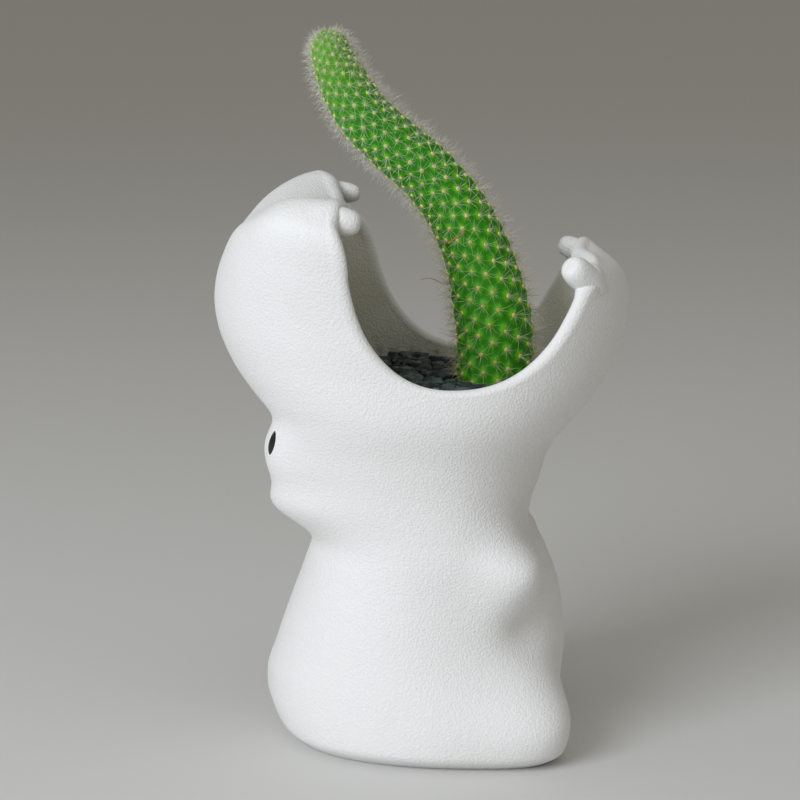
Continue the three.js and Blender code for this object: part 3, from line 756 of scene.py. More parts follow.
@dataclass
class HippoForm:
    """The outer form of the pot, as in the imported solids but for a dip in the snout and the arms' hollows.

    A level names a ring. Up the body, rings are stacked flat. Over the head they fan out on rays from the
    middle of the neck's top. Outlines give each ring's reach to the back, to the front and to the side.

    Attributes:
        back, front, side: outlines, each point a reach from the upright axis and a height.
        square: how far the corners of the section stand out, as a share of its radius, by level.
        neck: reach and height of the neck's top.
        ease: how far from there the rings turn from flat to fanned.
        swellings: lobes of the snout and a dip behind the right one, eye ridges, nape, the crease over the
            eyes, shoulders, arms, hollows under them, feet, thighs and tail.
        side_change: how wide the middle is across which the right side changes to the left.
        mouth_x to mouth_power: the notch of the open mouth, seen from the side.
        right_back to right_power: how much wider and squarer the notch is on the right.
        left_askew to flare_power: how much further the mouth is cut near its top, for each millimetre off
            the middle: to the back on the left and on the right, and to the front.
        wall: thickness of the ceramic.
        highest: the steepest ray, in degrees.
        small_turn, small_level: the steps over which the form's slopes are measured, in radians and in
            millimetres.
        lip_points: how finely the lip is measured.
    """

    back: Stations = (
        (42.2, 0), (46.7, 4), (49.5, 9), (51.1, 15), (51.3, 21), (48.5, 32), (43, 48), (38.6, 60),
        (36.2, 68), (39.3, 76), (43.7, 86), (47.7, 96), (49.3, 105), (50.9, 111), (55.8, 118),
        (62.6, 128.1), (67.2, 140), (68, 150), (65.4, 161), (60.6, 169.7), (51.4, 175), (42.6, 176.6),
        (33.8, 177.6), (24, 177),
    )
    front: Stations = (
        (44, 0), (43.5, 6), (47.4, 22), (48.5, 34), (46.6, 50), (41.2, 65), (36, 74), (36.7, 80), (39.4, 88),
        (42.4, 98), (51, 109), (58.8, 119), (64.3, 129), (67.8, 141), (68.2, 150.6), (65.3, 157.9),
        (59.8, 161.8), (50, 164), (39.9, 165),
    )
    side: Stations = (
        (40.4, 0), (46.2, 5), (45.5, 20), (43.4, 40), (41.4, 60), (41, 72), (42.2, 84), (45.4, 99),
        (50, 112), (51, 126), (52.4, 140), (53.4, 155), (53.6, 168), (42.4, 174.5), (32, 174.5), (21, 170),
    )
    square: Stations = (
        (0, 0.028), (30, 0), (70, 0.011), (112, 0.046), (134, 0.055), (149, 0.1), (157, 0.08), (168, -0.02),
        (178, -0.03),
    )
    neck: tuple[float, float] = (50.0, 112.0)
    ease: float = 6.0
    swellings: tuple[Swelling, ...] = (
        Swelling((-26.5, 40.1, 175), (28, 20.2, 17.2), 7.9, 1.24),
        Swelling((-53, 38, 178), (10, 15, 13), -2.2, 0),
        Swelling((-40.7, 20.7, 97.4), (12.6, 13.1, 16.1), 6.5),
        Swelling((-33.2, 8, 81.4), (16.7, 22, 7.5), 8.9),
        Swelling((-49.2, 0, 110.6), (13.9, 22, 5.6), -6),
        Swelling((17, 38, 72), (14, 14, 13), 3, 0.75),
        Swelling((30.2, 31.8, 63.8), (10.4, 14, 12.6), 12, 0.75),
        Swelling((37.5, 33.6, 43), (9.5, 13, 8), -3.2),
        Swelling((37.1, 32, 10.8), (16, 14.6, 18.2), 17.7, 0.75),
        Swelling((18.2, 40.7, 10.6), (23, 13.3, 17.9), 5.5),
        Swelling((-52, 0, 15), (8, 5, 11), 0.9),
    )
    side_change: float = 12.0
    mouth_x: float = 13.1
    mouth_bottom: float = 125.3
    mouth_depth: float = 52.0
    mouth_back: float = 35.6
    mouth_front: float = 39.4
    mouth_power: float = 2.05
    right_back: float = 1.6
    right_front: float = 2.6
    right_power: float = 0.2
    left_askew: float = 0.34
    right_askew: float = 0.015
    askew_power: float = 9.0
    flare: float = 0.4
    flare_power: float = 5.0
    wall: float = 4.0
    highest: float = 76.0
    small_turn: float = 0.01
    small_level: float = 0.2
    lip_points: int = 4001

    def __post_init__(self) -> None:
        """Turns the outlines into the radius along the ray of each level."""
        self.back_radius, self.front_radius, self.side_radius = map(
            self.radius_by_level, (self.back, self.front, self.side))
        self.squareness = SmoothLine(self.square)

    def rise(self, level: Array) -> Array:
        """Measures how far levels are up the head: 0 on the body, eased in by a parabola round the neck.

        Args:
            level: levels of the rings.

        Returns:
            Lengths up the head.
        """
        above = level - self.neck[1]
        eased = (above + self.ease) ** 2 / (4 * self.ease)
        return np.where(above <= -self.ease, 0, np.where(above >= self.ease, above, eased))

    def tilt(self, level: Array) -> Array:
        """Returns the slope in radians of the rays of levels."""
        return self.rise(level) / self.neck[0]

    def radius_by_level(self, outline: Stations) -> SmoothLine:
        """Turns an outline into radius by level: a point's level is found where its ray meets its height.

        Args:
            outline: points, each a reach from the upright axis and a height.

        Returns:
            The smooth line of radii.
        """
        reach, height = np.array(outline, dtype=float).T
        top = np.full(len(reach), self.neck[1] + self.neck[0] * math.pi / 2)

        def is_over(level: Array) -> Array:
            """Tells which rays pass over their point."""
            return level - self.rise(level) + reach * np.tan(self.tilt(level)) >= height

        level = level_where(is_over, 0 * top, top)
        return SmoothLine(tuple(zip(level, reach / np.cos(self.tilt(level)))))

    def ray_point(self, turn: Array, level: Array, radius: Array) -> Array:
        """Places points along rays, which start on the axis at their level or, up the head, at the neck.

        Args:
            turn: turns about the upright axis, in radians.
            level: levels of the rings.
            radius: lengths along the rays.

        Returns:
            Points.
        """
        tilt = self.tilt(level)
        reach = radius * np.cos(tilt)
        height = level - self.rise(level) + radius * np.sin(tilt)
        return np.stack(np.broadcast_arrays(reach * np.cos(turn), reach * np.sin(turn), height), axis=-1)

    def rightness(self, y: Array) -> Array:
        """Returns how far to the right places are: 1 on the right side, 0 on the left."""
        return (1 - np.tanh(y / self.side_change)) / 2

    def outer_radius(self, turn: Array, level: Array) -> Array:
        """Returns the radius of the form along rays.

        Half an oval runs to the front and half to the back, each as far as its outline. Its corners stand
        out with the squared sine of twice the turn, and bell-shaped swellings are added.

        Args:
            turn: turns about the upright axis, in radians.
            level: levels of the rings.

        Returns:
            Radii in millimetres.
        """
        along = np.cos(turn)
        reach = np.where(along > 0, self.front_radius(level), self.back_radius(level))
        oval = 1 / np.hypot(along / reach, np.sin(turn) / self.side_radius(level))
        radius = oval * (1 + self.squareness(level) * np.sin(2 * turn) ** 2)
        point = self.ray_point(turn, level, radius)
        right = self.rightness(point[..., 1])
        point[..., 1] = np.abs(point[..., 1])
        for swelling in self.swellings:
            off = (point - np.array(swelling.at)) / np.array(swelling.size)
            share = swelling.left_share + (1 - swelling.left_share) * right
            radius = radius + share * swelling.rise * np.exp(-np.sum(off ** 2, axis=-1))
        return radius

    def point(self, turn: Array, level: Array) -> Array:
        """Returns points of the outer form."""
        return self.ray_point(turn, level, self.outer_radius(turn, level))

    def normal(self, turn: Array, level: Array) -> Array:
        """Works out outward normals, square to the form's change over a small turn and a small level.

        Args:
            turn: turns about the upright axis, in radians.
            level: levels of the rings.

        Returns:
            Directions of length 1.
        """
        around = self.point(turn + self.small_turn, level) - self.point(turn - self.small_turn, level)
        upward = self.point(turn, level + self.small_level) - self.point(turn, level - self.small_level)
        return unit(np.cross(around, upward))

    def inside(self, turn: Array, level: Array, depth: float) -> Array:
        """Places points at a depth under the least outer radius nearby, along the rays.

        Args:
            turn: turns about the upright axis, in radians.
            level: levels of the rings.
            depth: how far inside.

        Returns:
            Points.
        """
        near = self.wall / 2
        aside = near / self.outer_radius(turn, level)
        places = ((0, 0), (0, near), (0, -near), (aside, 0), (-aside, 0))
        radii = [self.outer_radius(turn + turned, level + raised) for turned, raised in places]
        return self.ray_point(turn, level, np.min(radii, axis=0) - depth)

    def in_mouth(self, point: Array) -> Array:
        """Tells which points of the form lie in the mouth's notch, a rounded superellipse from the side.

        Args:
            point: points of the form.

        Returns:
            True where a point is cut away.
        """
        x, y, z = np.moveaxis(point, -1, 0)
        half = self.wall / 2
        share = np.clip((z - self.mouth_bottom) / self.mouth_depth, 0, 1)
        right = self.rightness(y)
        askew = np.where(y > 0, self.left_askew, self.right_askew) * np.abs(y) * share ** self.askew_power
        flare = self.flare * np.abs(y) * share ** self.flare_power
        back = self.mouth_back + self.right_back * right + askew
        front = self.mouth_front + self.right_front * right + flare
        power = self.mouth_power + self.right_power * right
        reach = np.where(x < self.mouth_x, back, front) + half
        low = np.maximum(self.mouth_bottom + self.mouth_depth - z, 0) / (self.mouth_depth + half)
        return (np.abs(x - self.mouth_x) / reach) ** power + low ** power < 1

    def lip_level(self, turn: Array) -> Array:
        """Finds the lip, where the form comes into the mouth's notch.

        Args:
            turn: turns about the upright axis, in radians.

        Returns:
            The lip's level at each.
        """
        turn = np.asarray(turn, dtype=float)
        low = np.full(turn.shape, self.neck[1] / 2)
        high = np.full(turn.shape, self.neck[1] + self.neck[0] * math.radians(self.highest))
        return level_where(lambda level: self.in_mouth(self.point(turn, level)), low, high)

    def ring_turns(self, count: int) -> Array:
        """Returns turns of the rings' points, spread half by turn and half by length along the lip.

        Args:
            count: how many there are.

        Returns:
            Turns in radians.
        """
        fine = np.linspace(0, FULL_TURN, self.lip_points)
        lip = self.point(fine, self.lip_level(fine))
        length = np.cumsum(np.linalg.norm(np.diff(lip, axis=0, prepend=lip[:1]), axis=-1))
        share = (fine / fine[-1] + length / length[-1]) / 2
        return np.interp(np.linspace(0, 1, count, endpoint=False), share, fine)


@dataclass
class Tooth:
    """A blunt peg of clay luted on to the lip.

    Attributes:
        turn: its place along the lip, in degrees.
        jaw: which jaw it is on.
        radius, length: its size.
        lift: how far over the lip's edge it sits.
        pitch: its slope in degrees.
        inset: how far in it sits from being flush with the outer surface.
        yaw: how far it turns outward, in degrees.
        root: how far it runs back into the lip.
        bluntness: the power of the superellipse that rounds its tip.
        rows, sides: rings along it and points round each.
    """

    turn: float
    jaw: Jaw
    radius: float
    length: float
    lift: float
    pitch: float
    inset: float = 0.0
    yaw: float = 0.0
    root: float = 3.4
    bluntness: float = 3.0
    rows: int = 36
    sides: int = 40

    def stance(self, form: HippoForm) -> tuple[Array, Array]:
        """Sets the peg under the form's outer surface at the lip.

        Args:
            form: the form whose lip carries it.

        Returns:
            Where it starts and the way it points.
        """
        turn = math.radians(self.turn)
        level = form.lip_level(turn)
        start = form.point(turn, level) - form.normal(turn, level) * (self.radius + self.inset)
        slope = math.radians(self.pitch)
        yaw = math.radians(self.yaw)
        ahead = math.cos(slope) * self.jaw.value * math.cos(yaw)
        aside = math.cos(slope) * math.copysign(math.sin(yaw), self.turn)
        return start + np.array([0, 0, self.lift]), np.array([ahead, aside, math.sin(slope)])

    def distance(self, form: HippoForm, points: Array) -> Array:
        """Measures how far points are from the peg, taken as a rod with a round end.

        Args:
            form: the form whose lip carries it.
            points: points near it.

        Returns:
            Distances from its surface.
        """
        start, aim = self.stance(form)
        along = np.clip((points - start) @ aim, 0, self.length - self.radius)
        return np.linalg.norm(points - start - along[..., None] * aim, axis=-1) - self.radius

    def rings(self, form: HippoForm) -> Array:
        """Returns the peg's rings: a half superellipse to the tip and a half ellipse to the root, turned.

        Args:
            form: the form whose lip carries it.

        Returns:
            One tube of rings of points.
        """
        start, aim = self.stance(form)
        bend = np.linspace(-math.pi / 2, math.pi / 2, self.rows + 2)[1:-1]
        power = np.where(bend < 0, 1, 2 / self.bluntness)
        share = np.sign(bend) * np.abs(np.sin(bend)) ** power
        radius = self.radius * np.cos(bend) ** power
        along = share * np.where(share < 0, self.root, self.length)
        across = unit(np.cross([0.0, 0.0, 1.0], aim))
        angle = circle(self.sides)[:, None]
        round_about = np.cos(angle) * across + np.sin(angle) * np.cross(aim, across)
        return (start + along[:, None, None] * aim + radius[:, None, None] * round_about)[None]


@dataclass
class CeramicPot:
    """The slip-cast shell with its teeth and eyes.

    Attributes:
        form: its outer form.
        body_top: the level where rows that follow the lip begin.
        filling: the level up to which the cavity is filled.
        floor, fillet, foot_ring, recess, drain: the floor, its inner fillet, the foot and the drain hole.
        fillet_bends: where the fillet's rings are, in degrees round its quarter circle.
        eye_turn to eye_lean: place, size and slant of the eyes.
        eye_bulge, eye_fall: how far an eye's middle stands out, and how much of that its rim falls.
        eye_point: how pointed its almond is, where 1 is an oval.
        eye_centre: the smallest ring of its surface, as a share of its rim.
        luting: width of the clay fillet round a tooth.
        foot_bare: how bare of glaze the foot is.
        crease: the angle in degrees past which the shell's edges stay sharp.
        columns to eye_sides: how many rings and points there are.
    """

    form: HippoForm
    body_top: float = 105.0
    filling: float = 121.5
    floor: float = 5.0
    fillet: float = 6.0
    foot_ring: float = 9.0
    recess: float = 1.2
    drain: float = 10.0
    fillet_bends: tuple[float, ...] = (22.5, 45, 67.5, 90)
    eye_turn: float = 149.8
    eye_level: float = 103.6
    eye_width: float = 5.0
    eye_height: float = 10.2
    eye_lean: float = 13.0
    eye_bulge: float = 0.4
    eye_fall: float = 1.6
    eye_point: float = 1.25
    eye_centre: float = 0.04
    luting: float = 3.6
    foot_bare: float = 0.8
    crease: float = 60.0
    columns: int = 420
    body_rows: int = 76
    head_rows: int = 72
    lip_rows: int = 14
    cavity_rows: int = 26
    eye_rows: int = 14
    eye_sides: int = 64
    glaze: Finish = field(default_factory=SandedCeramic)
    eye_glaze: Finish = field(default_factory=BlackGlaze)
    teeth: dict[str, Tooth] = field(default_factory=lambda: {
        "upper_tooth_right": Tooth(-119, Jaw.UPPER, 4.7, 10.6, 0.2, -8, 0.4),
        "upper_tooth_left": Tooth(137, Jaw.UPPER, 4.0, 13.6, -0.6, -4, 1),
        "lower_tooth_right": Tooth(-31, Jaw.LOWER, 4.8, 8.8, 1.6, 34, -1, yaw=44, root=10, bluntness=3.6),
        "lower_tooth_left": Tooth(31, Jaw.LOWER, 3.8, 6.6, 0.6, 21, 0.5, root=6),
    })

    def build(self) -> list[Piece]:
        """Builds and dresses the shell, the teeth and the eyes."""
        return [self.build_shell(), *self.build_teeth(), *map(self.build_eye, Hand)]

    def build_shell(self) -> Piece:
        """Builds the shell: rings up the outside, over the rounded lip, down the inside and under the foot.

        Returns:
            The shell.
        """
        form = self.form
        turn = form.ring_turns(self.columns)
        lip = form.lip_level(turn)
        share = np.linspace(0, 1, self.head_rows + 1)[1:, None]
        body = np.linspace(0, self.body_top, self.body_rows)[:, None] + 0 * turn
        outer = form.point(turn, np.concatenate([body, self.body_top + (lip - self.body_top) * share]))
        down = np.linspace(1, 0, self.cavity_rows)[:, None]
        inner = form.inside(turn, self.filling + (lip - self.filling) * down, form.wall)
        floor_top = self.recess + self.floor
        levels = np.linspace(self.filling, floor_top + self.fillet, self.cavity_rows)[1:, None]
        cavity = form.inside(turn, levels + 0 * turn, form.wall)
        edge = self.luted(np.concatenate([outer, self.lip_rings(outer[-1], inner[0]), inner]))
        foot = self.foot_rings(turn, cavity[-1])
        # The glaze runs over two thirds of the lip and thins out over the last.
        lip_share = np.clip(np.linspace(-2, 1, self.lip_rows), 0, 1)
        bare = [np.zeros(len(outer)), lip_share, np.ones(len(inner) + len(cavity)),
                np.full(len(foot), self.foot_bare)]
        points = np.concatenate([edge, cavity, foot])
        faces = grid_faces(len(points), self.columns, closed=True)
        inner_share = np.repeat(np.concatenate(bare), self.columns)
        return add_piece("pot_ceramic", points.reshape(-1, 3), [faces], self.glaze, ("pot_shell",),
                         self.crease, inner=inner_share)

    def lip_rings(self, outer: Array, inner: Array) -> Array:
        """Makes the lip: a half round between its outer and its inner edge.

        Args:
            outer, inner: the rings at its two edges.

        Returns:
            The rings between them.
        """
        half = (outer - inner) / 2
        along = np.roll(outer, -1, axis=0) - np.roll(outer, 1, axis=0)
        rise = np.cross(half, along)
        rise *= np.linalg.norm(half, axis=-1, keepdims=True) / np.linalg.norm(rise, axis=-1, keepdims=True)
        bend = np.linspace(0, math.pi, self.lip_rows + 2)[1:-1, None, None]
        return inner + half + half * np.cos(bend) + rise * np.sin(bend)

    def luted(self, rings: Array) -> Array:
        """Raises a fillet of clay round each tooth.

        Within the fillet's width of a tooth the shell stands out by the square of what is left of that width
        over four times the width, which joins two surfaces without a crease.

        Args:
            rings: the shell's rings near the lip.

        Returns:
            The raised rings.
        """
        around = np.roll(rings, -1, axis=1) - np.roll(rings, 1, axis=1)
        normal = unit(np.cross(around, np.gradient(rings, axis=0)))
        raised = rings
        for tooth in self.teeth.values():
            left = np.clip(self.luting - np.abs(tooth.distance(self.form, rings)), 0, None)
            raised = raised + (left ** 2 / (4 * self.luting))[..., None] * normal
        return raised

    def foot_rings(self, turn: Array, wall: Array) -> Array:
        """Makes the fillet, a quarter ellipse, and then the floor, the drain hole and the foot.

        Args:
            turn: turns of the rings' points, in radians.
            wall: the cavity's last ring.

        Returns:
            The rings from there to the foot's inner edge.
        """
        aim = np.stack([np.cos(turn), np.sin(turn)], axis=-1)
        floor_top = self.recess + self.floor
        reach = np.linalg.norm(wall[:, :2], axis=-1)
        drain = np.full(len(turn), self.drain / 2)
        foot = np.linalg.norm(self.form.point(turn, 0 * turn)[:, :2], axis=-1) - self.foot_ring
        sizes = [(reach - self.fillet * (1 - math.cos(bend)),
                  wall[:, 2] + (floor_top - wall[:, 2]) * math.sin(bend))
                 for bend in np.radians(self.fillet_bends)]
        sizes += [(drain, floor_top), (drain, self.recess), (foot, self.recess), (foot, 0.0)]
        rings = [np.column_stack([aim * radius[:, None], height + 0 * turn]) for radius, height in sizes]
        return np.stack(rings)

    def build_teeth(self) -> list[Piece]:
        """Builds the four teeth.

        Returns:
            The teeth.
        """
        made = []
        for name, tooth in self.teeth.items():
            points, faces = capped(tooth.rings(self.form))
            glazed = np.zeros(len(points))
            made.append(add_piece(f"{name}_clay", points, faces, self.glaze, (name,), inner=glazed))
        return made

    def build_eye(self, hand: Hand) -> Piece:
        """Builds an eye: the form's own surface over an almond, raised in a low dome and sunk at its rim.

        Args:
            hand: which side it is on.

        Returns:
            The eye.
        """
        form = self.form
        turn, level = math.radians(self.eye_turn) * hand.value, np.array(self.eye_level)
        step = form.small_turn
        beside = form.point(turn + step, level) - form.point(turn - step, level)
        above = form.point(turn, level + 1) - form.point(turn, level - 1)
        per_turn, per_level = np.linalg.norm(beside) / (2 * step), np.linalg.norm(above) / 2
        share = np.linspace(self.eye_centre, 1, self.eye_rows)[:, None]
        angle = circle(self.eye_sides)[None]
        almond = np.sign(np.cos(angle)) * np.abs(np.cos(angle)) ** self.eye_point
        across = share * self.eye_width / 2 * almond
        upward = share * self.eye_height / 2 * np.sin(angle)
        across = across - hand.value * math.tan(math.radians(self.eye_lean)) * upward
        at_turn, at_level = turn + across / per_turn, level + upward / per_level
        normal = form.normal(at_turn, at_level)
        over = self.eye_bulge * (1 - self.eye_fall * share ** 2)[..., None]
        front = form.point(at_turn, at_level) + over * normal
        behind = (front - 2 * self.eye_bulge * normal)[::-1]
        points, faces = capped(np.concatenate([front, behind])[None, :, ::-1])
        name = f"eye_{hand.name.lower()}"
        return add_piece(f"{name}_glaze", points, faces, self.eye_glaze, (name,))


@dataclass
class Cactus:
    """A bent columnar cactus with knobbly skin, woolly areoles and spines.

    Knobs sit on a spiral lattice. It is drawn on the turn about the stem and on the run up it, counted in
    radii, so that knobs get smaller with the stem. One family of spirals steps round and down, the other
    round and up, and both close after a whole turn.

    Attributes:
        axis: distance along X and height above the slate bed of points on the axis.
        radius: radius by height above the bed.
        tip: length of the rounded end.
        spirals: how many spirals there are in each family.
        step_round, step_up: the first family's step round, in radians, and the lattice's least step up.
        stray: how far areoles are off the lattice, in radians and in radii.
        foot: height over the stem's end from which there are areoles.
        bare_tip: how far under the tip they end, in radii and in millimetres.
        knob: two thirds of the furrows' depth on the thickest part.
        wool: radius of an areole there.
        wool_bends: where an areole's rings are, in degrees up its half round.
        wool_tall, wool_high: its length up the stem and its height, as shares of its width.
        wool_sizes: the smallest and the largest, as shares.
        spines: spines on each areole.
        spine_length, spine_radius: of the longest.
        spine_sizes: the shortest and the longest, as shares.
        spine_start: height over the skin where they start.
        spine_stray: how far they are off an even fan, in steps of it.
        spine_places, spine_widths: where a spine's rings are along it, and how wide, as shares.
        spine_bow: how far spines bend, as a share of their length.
        standing, lying: slopes in degrees of every second spine and of the others, lowest and highest.
        scar_height, scar_width: the scar's place over the stem's end, and its width.
        thread_height, thread_width: the dry thread's place over the stem's end, and its width.
        rows, sides: rings along the skin and points round each.
        crowding: how much closer the rings stand towards the tip, where 1 is evenly.
        last_ring: the last ring's place, as a share of the length.
        fineness: how many places of the axis are measured.
        least_radius: what the run is counted in where the tip is thinner.
        seed: of what is random.
    """

    axis: Stations = (
        (24.2, -7), (24.4, 8), (24.3, 16), (22.3, 28.5), (18.6, 42), (12.6, 55), (3.2, 67.5), (-8.6, 78),
        (-18.3, 87.3), (-24.6, 97), (-28.8, 106.5), (-31, 115.4),
    )
    radius: Stations = (
        (-7, 12.5), (22, 12.8), (39, 11.6), (60, 10.2), (76, 9.5), (90, 8.9), (105, 7.2), (115.4, 5.4),
    )
    tip: float = 6.0
    spirals: tuple[int, int] = (11, 7)
    step_round: float = 0.371
    step_up: float = 0.0273
    stray: float = 0.018
    foot: float = 7.5
    bare_tip: tuple[float, float] = (0.2, 0.25)
    knob: float = 0.45
    wool: float = 0.7
    wool_bends: tuple[float, ...] = (-60, -20, 15, 45, 72)
    wool_tall: float = 1.15
    wool_high: float = 0.62
    wool_sizes: tuple[float, float] = (0.85, 1.15)
    spines: int = 13
    spine_length: float = 7.0
    spine_radius: float = 0.068
    spine_sizes: tuple[float, float] = (0.35, 1)
    spine_start: float = 0.15
    spine_stray: float = 1.5
    spine_places: tuple[float, ...] = (0, 0.55, 1)
    spine_widths: tuple[float, ...] = (1, 0.75, 0.12)
    spine_bow: float = 0.045
    standing: tuple[float, float] = (45, 82)
    lying: tuple[float, float] = (14, 46)
    scar_height: float = 58.4
    scar_width: float = 0.3
    thread_height: float = 42.7
    thread_width: float = 0.15
    rows: int = 330
    sides: int = 176
    crowding: float = 1.25
    last_ring: float = 0.9997
    fineness: int = 4000
    least_radius: float = 0.8
    seed: int = 20
    skin: Finish = field(default_factory=CactusSkin)
    felt: Finish = field(default_factory=AreoleWool)
    horn: Finish = field(default_factory=SpineHorn)
    cork: Finish = field(default_factory=DryCork)

    def __post_init__(self) -> None:
        """Measures the axis: its length from the foot, its radius and its run counted in radii."""
        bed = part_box("slate_bed")[1][2] / MM
        heights = np.linspace(self.axis[0][1], self.axis[-1][1], self.fineness)
        across = SmoothLine(tuple((height, x) for x, height in self.axis))(heights)
        self.middle = np.stack([across, 0 * across, heights + bed], axis=-1)
        steps = np.linalg.norm(np.diff(self.middle, axis=0), axis=-1)
        self.place = np.concatenate([[0], np.cumsum(steps)])
        self.length = self.place[-1]
        left = np.clip((self.length - self.place) / self.tip, 0, 1)
        self.thickness = SmoothLine(self.radius)(heights) * np.sqrt(1 - (1 - left) ** 2)
        paces = steps / np.maximum(self.thickness[:-1], self.least_radius)
        self.run = np.concatenate([[0], np.cumsum(paces)])
        self.random = np.random.default_rng(self.seed)

    def build(self) -> list[Piece]:
        """Builds and dresses the skin, the areoles, the spines, a scar and a dry thread.

        Returns:
            The pieces.
        """
        turn, place = self.lattice()
        return [self.build_skin(), self.build_wool(turn, place), self.build_spines(turn, place),
                self.build_scar(), self.build_thread()]

    def along(self, place: Array, table: Array) -> Array:
        """Reads a table of the axis.

        Args:
            place: lengths along the axis.
            table: a number or a point for each measured place.

        Returns:
            The table's values there.
        """
        if table.ndim == 1:
            return np.interp(place, self.place, table)
        return np.stack([np.interp(place, self.place, column) for column in table.T], axis=-1)

    def place_at(self, height: float | Array) -> Array:
        """Returns lengths along the axis at heights over the stem's end."""
        return np.interp(self.middle[0, 2] + height, self.middle[:, 2], self.place)

    def size_at(self, place: Array) -> Array:
        """Returns how thick the stem is at places, as a share of its thickest."""
        return self.along(place, self.thickness) / self.thickness.max()

    def directions(self, turn: Array, place: Array) -> tuple[Array, Array, Array]:
        """Works out the ways up the stem, round it and out of it.

        Args:
            turn: turns about the stem, in radians.
            place: lengths along the axis.

        Returns:
            The three directions.
        """
        up = unit(self.along(place, np.gradient(self.middle, self.place, axis=0)))
        sideways = np.stack([up[..., 2], 0 * up[..., 0], -up[..., 0]], axis=-1)
        across = np.array([0.0, 1.0, 0.0])
        sine, cosine = np.sin(turn)[..., None], np.cos(turn)[..., None]
        return up, across * cosine - sideways * sine, sideways * cosine + across * sine

    def round_two(self) -> float:
        """Returns the second family's step round, with which both families close after a whole turn."""
        return (FULL_TURN - self.spirals[0] * self.step_round) / self.spirals[1]

    def crest(self, turn: Array, place: Array) -> Array:
        """Measures how near a knob's top points are: 1 on it and -0.5 in the furrows.

        It is the mean of three cosines, one across each family of spirals and one across their sum.

        Args:
            turn: turns about the stem, in radians.
            place: lengths along the axis.

        Returns:
            The measure at each.
        """
        first, second = self.spirals
        round_two = self.round_two()
        down, up = -second * self.step_up, first * self.step_up
        run = self.along(place, self.run)
        area = self.step_round * up - down * round_two
        p = (turn * up - run * round_two) / area
        q = (run * self.step_round - turn * down) / area
        return (np.cos(FULL_TURN * p) + np.cos(FULL_TURN * q) + np.cos(FULL_TURN * (p + q))) / 3

    def surface(self, turn: Array, place: Array, over: float = 0.0) -> Array:
        """Places points over the knobbly skin, whose radius falls from the knobs into the furrows.

        Args:
            turn: turns about the stem, in radians.
            place: lengths along the axis.
            over: height over the skin.

        Returns:
            Points.
        """
        thickness = self.along(place, self.thickness)
        knobs = self.knob * np.minimum(self.size_at(place), 1) * (self.crest(turn, place) - 1)
        out = self.directions(turn, place)[2]
        return self.along(place, self.middle) + (thickness + knobs + over)[..., None] * out

    def lattice(self) -> tuple[Array, Array]:
        """Lays out the areoles, each a little off the lattice, from over the foot to just under the tip.

        Returns:
            The turn and the place of each.
        """
        first, second = self.spirals
        last = int(self.run[-1] / (first * self.step_up)) + second
        p, q = np.meshgrid(np.arange(first), np.arange(-first, last))
        turn = p * self.step_round + q * self.round_two()
        run = self.step_up * (first * q - second * p)
        turn, run = (part + self.random.normal(0, self.stray, part.shape) for part in (turn, run))
        place = np.interp(run, self.run, self.place)
        under_tip = (run < self.run[-1] - self.bare_tip[0]) & (place < self.length - self.bare_tip[1])
        kept = (place > self.place_at(self.foot)) & under_tip
        return turn[kept], place[kept]

    def build_skin(self) -> Piece:
        """Builds the skin: the knobbly radius carried along the bent axis to a rounded tip.

        Returns:
            The skin.
        """
        share = 1 - (1 - np.linspace(0, 1, self.rows)) ** self.crowding
        place = (share * self.last_ring * self.length)[:, None]
        place, turn = np.broadcast_arrays(place, circle(self.sides)[None])
        points, faces = capped(self.surface(turn, place)[None])
        ends = np.array([0, 1])
        crest = np.concatenate([self.crest(turn, place).ravel(), 0 * ends])
        age = np.concatenate([(place / self.length).ravel(), ends])
        return add_piece("cactus_skin", points, faces, self.skin, ("cactus_stem",), crest=crest, age=age)

    def build_wool(self, turn: Array, place: Array) -> Piece:
        """Builds the areoles: low felt buttons, each a half ellipsoid set on its knob.

        Args:
            turn, place: where they are.

        Returns:
            All of them as one piece.
        """
        up, around, out = (way[:, None, None] for way in self.directions(turn, place))
        size = self.wool * np.sqrt(self.size_at(place)) * self.random.uniform(*self.wool_sizes, len(turn))
        bend = np.radians(self.wool_bends)[None, :, None, None]
        angle = circle(8)[None, None, :, None]
        ring = np.cos(angle) * around + self.wool_tall * np.sin(angle) * up
        shape = np.cos(bend) * ring + self.wool_high * np.sin(bend) * out
        rings = self.surface(turn, place)[:, None, None] + size[:, None, None, None] * shape
        points, faces = capped(rings)
        age = np.repeat(place / self.length, len(points) // len(turn))
        return add_piece("cactus_areoles", points, faces, self.felt, age=age)

    def build_spines(self, turn: Array, place: Array) -> Piece:
        """Builds the spines: thin three-sided cones bent in a parabola, fanned out from each areole.

        Args:
            turn, place: where the areoles are.

        Returns:
            All of them as one piece.
        """
        count = (len(turn), self.spines)
        random = self.random
        up, around, out = (way[:, None] for way in self.directions(turn, place))
        stray = random.uniform(0, self.spine_stray, count)
        swing = (FULL_TURN * (np.arange(self.spines) + stray) / self.spines)[..., None]
        second = np.arange(self.spines) % 2 == 1
        lean = np.where(second, random.uniform(*self.standing, count), random.uniform(*self.lying, count))
        lean = np.radians(lean)[..., None]
        flat = np.cos(swing) * up + np.sin(swing) * around
        aim = (np.cos(lean) * flat + np.sin(lean) * out).reshape(-1, 3)
        share = random.uniform(*self.spine_sizes, count) * np.sqrt(self.size_at(place))[:, None]
        length = (self.spine_length * share).reshape(-1, 1)
        start = np.repeat(self.surface(turn, place, self.spine_start), self.spines, axis=0)
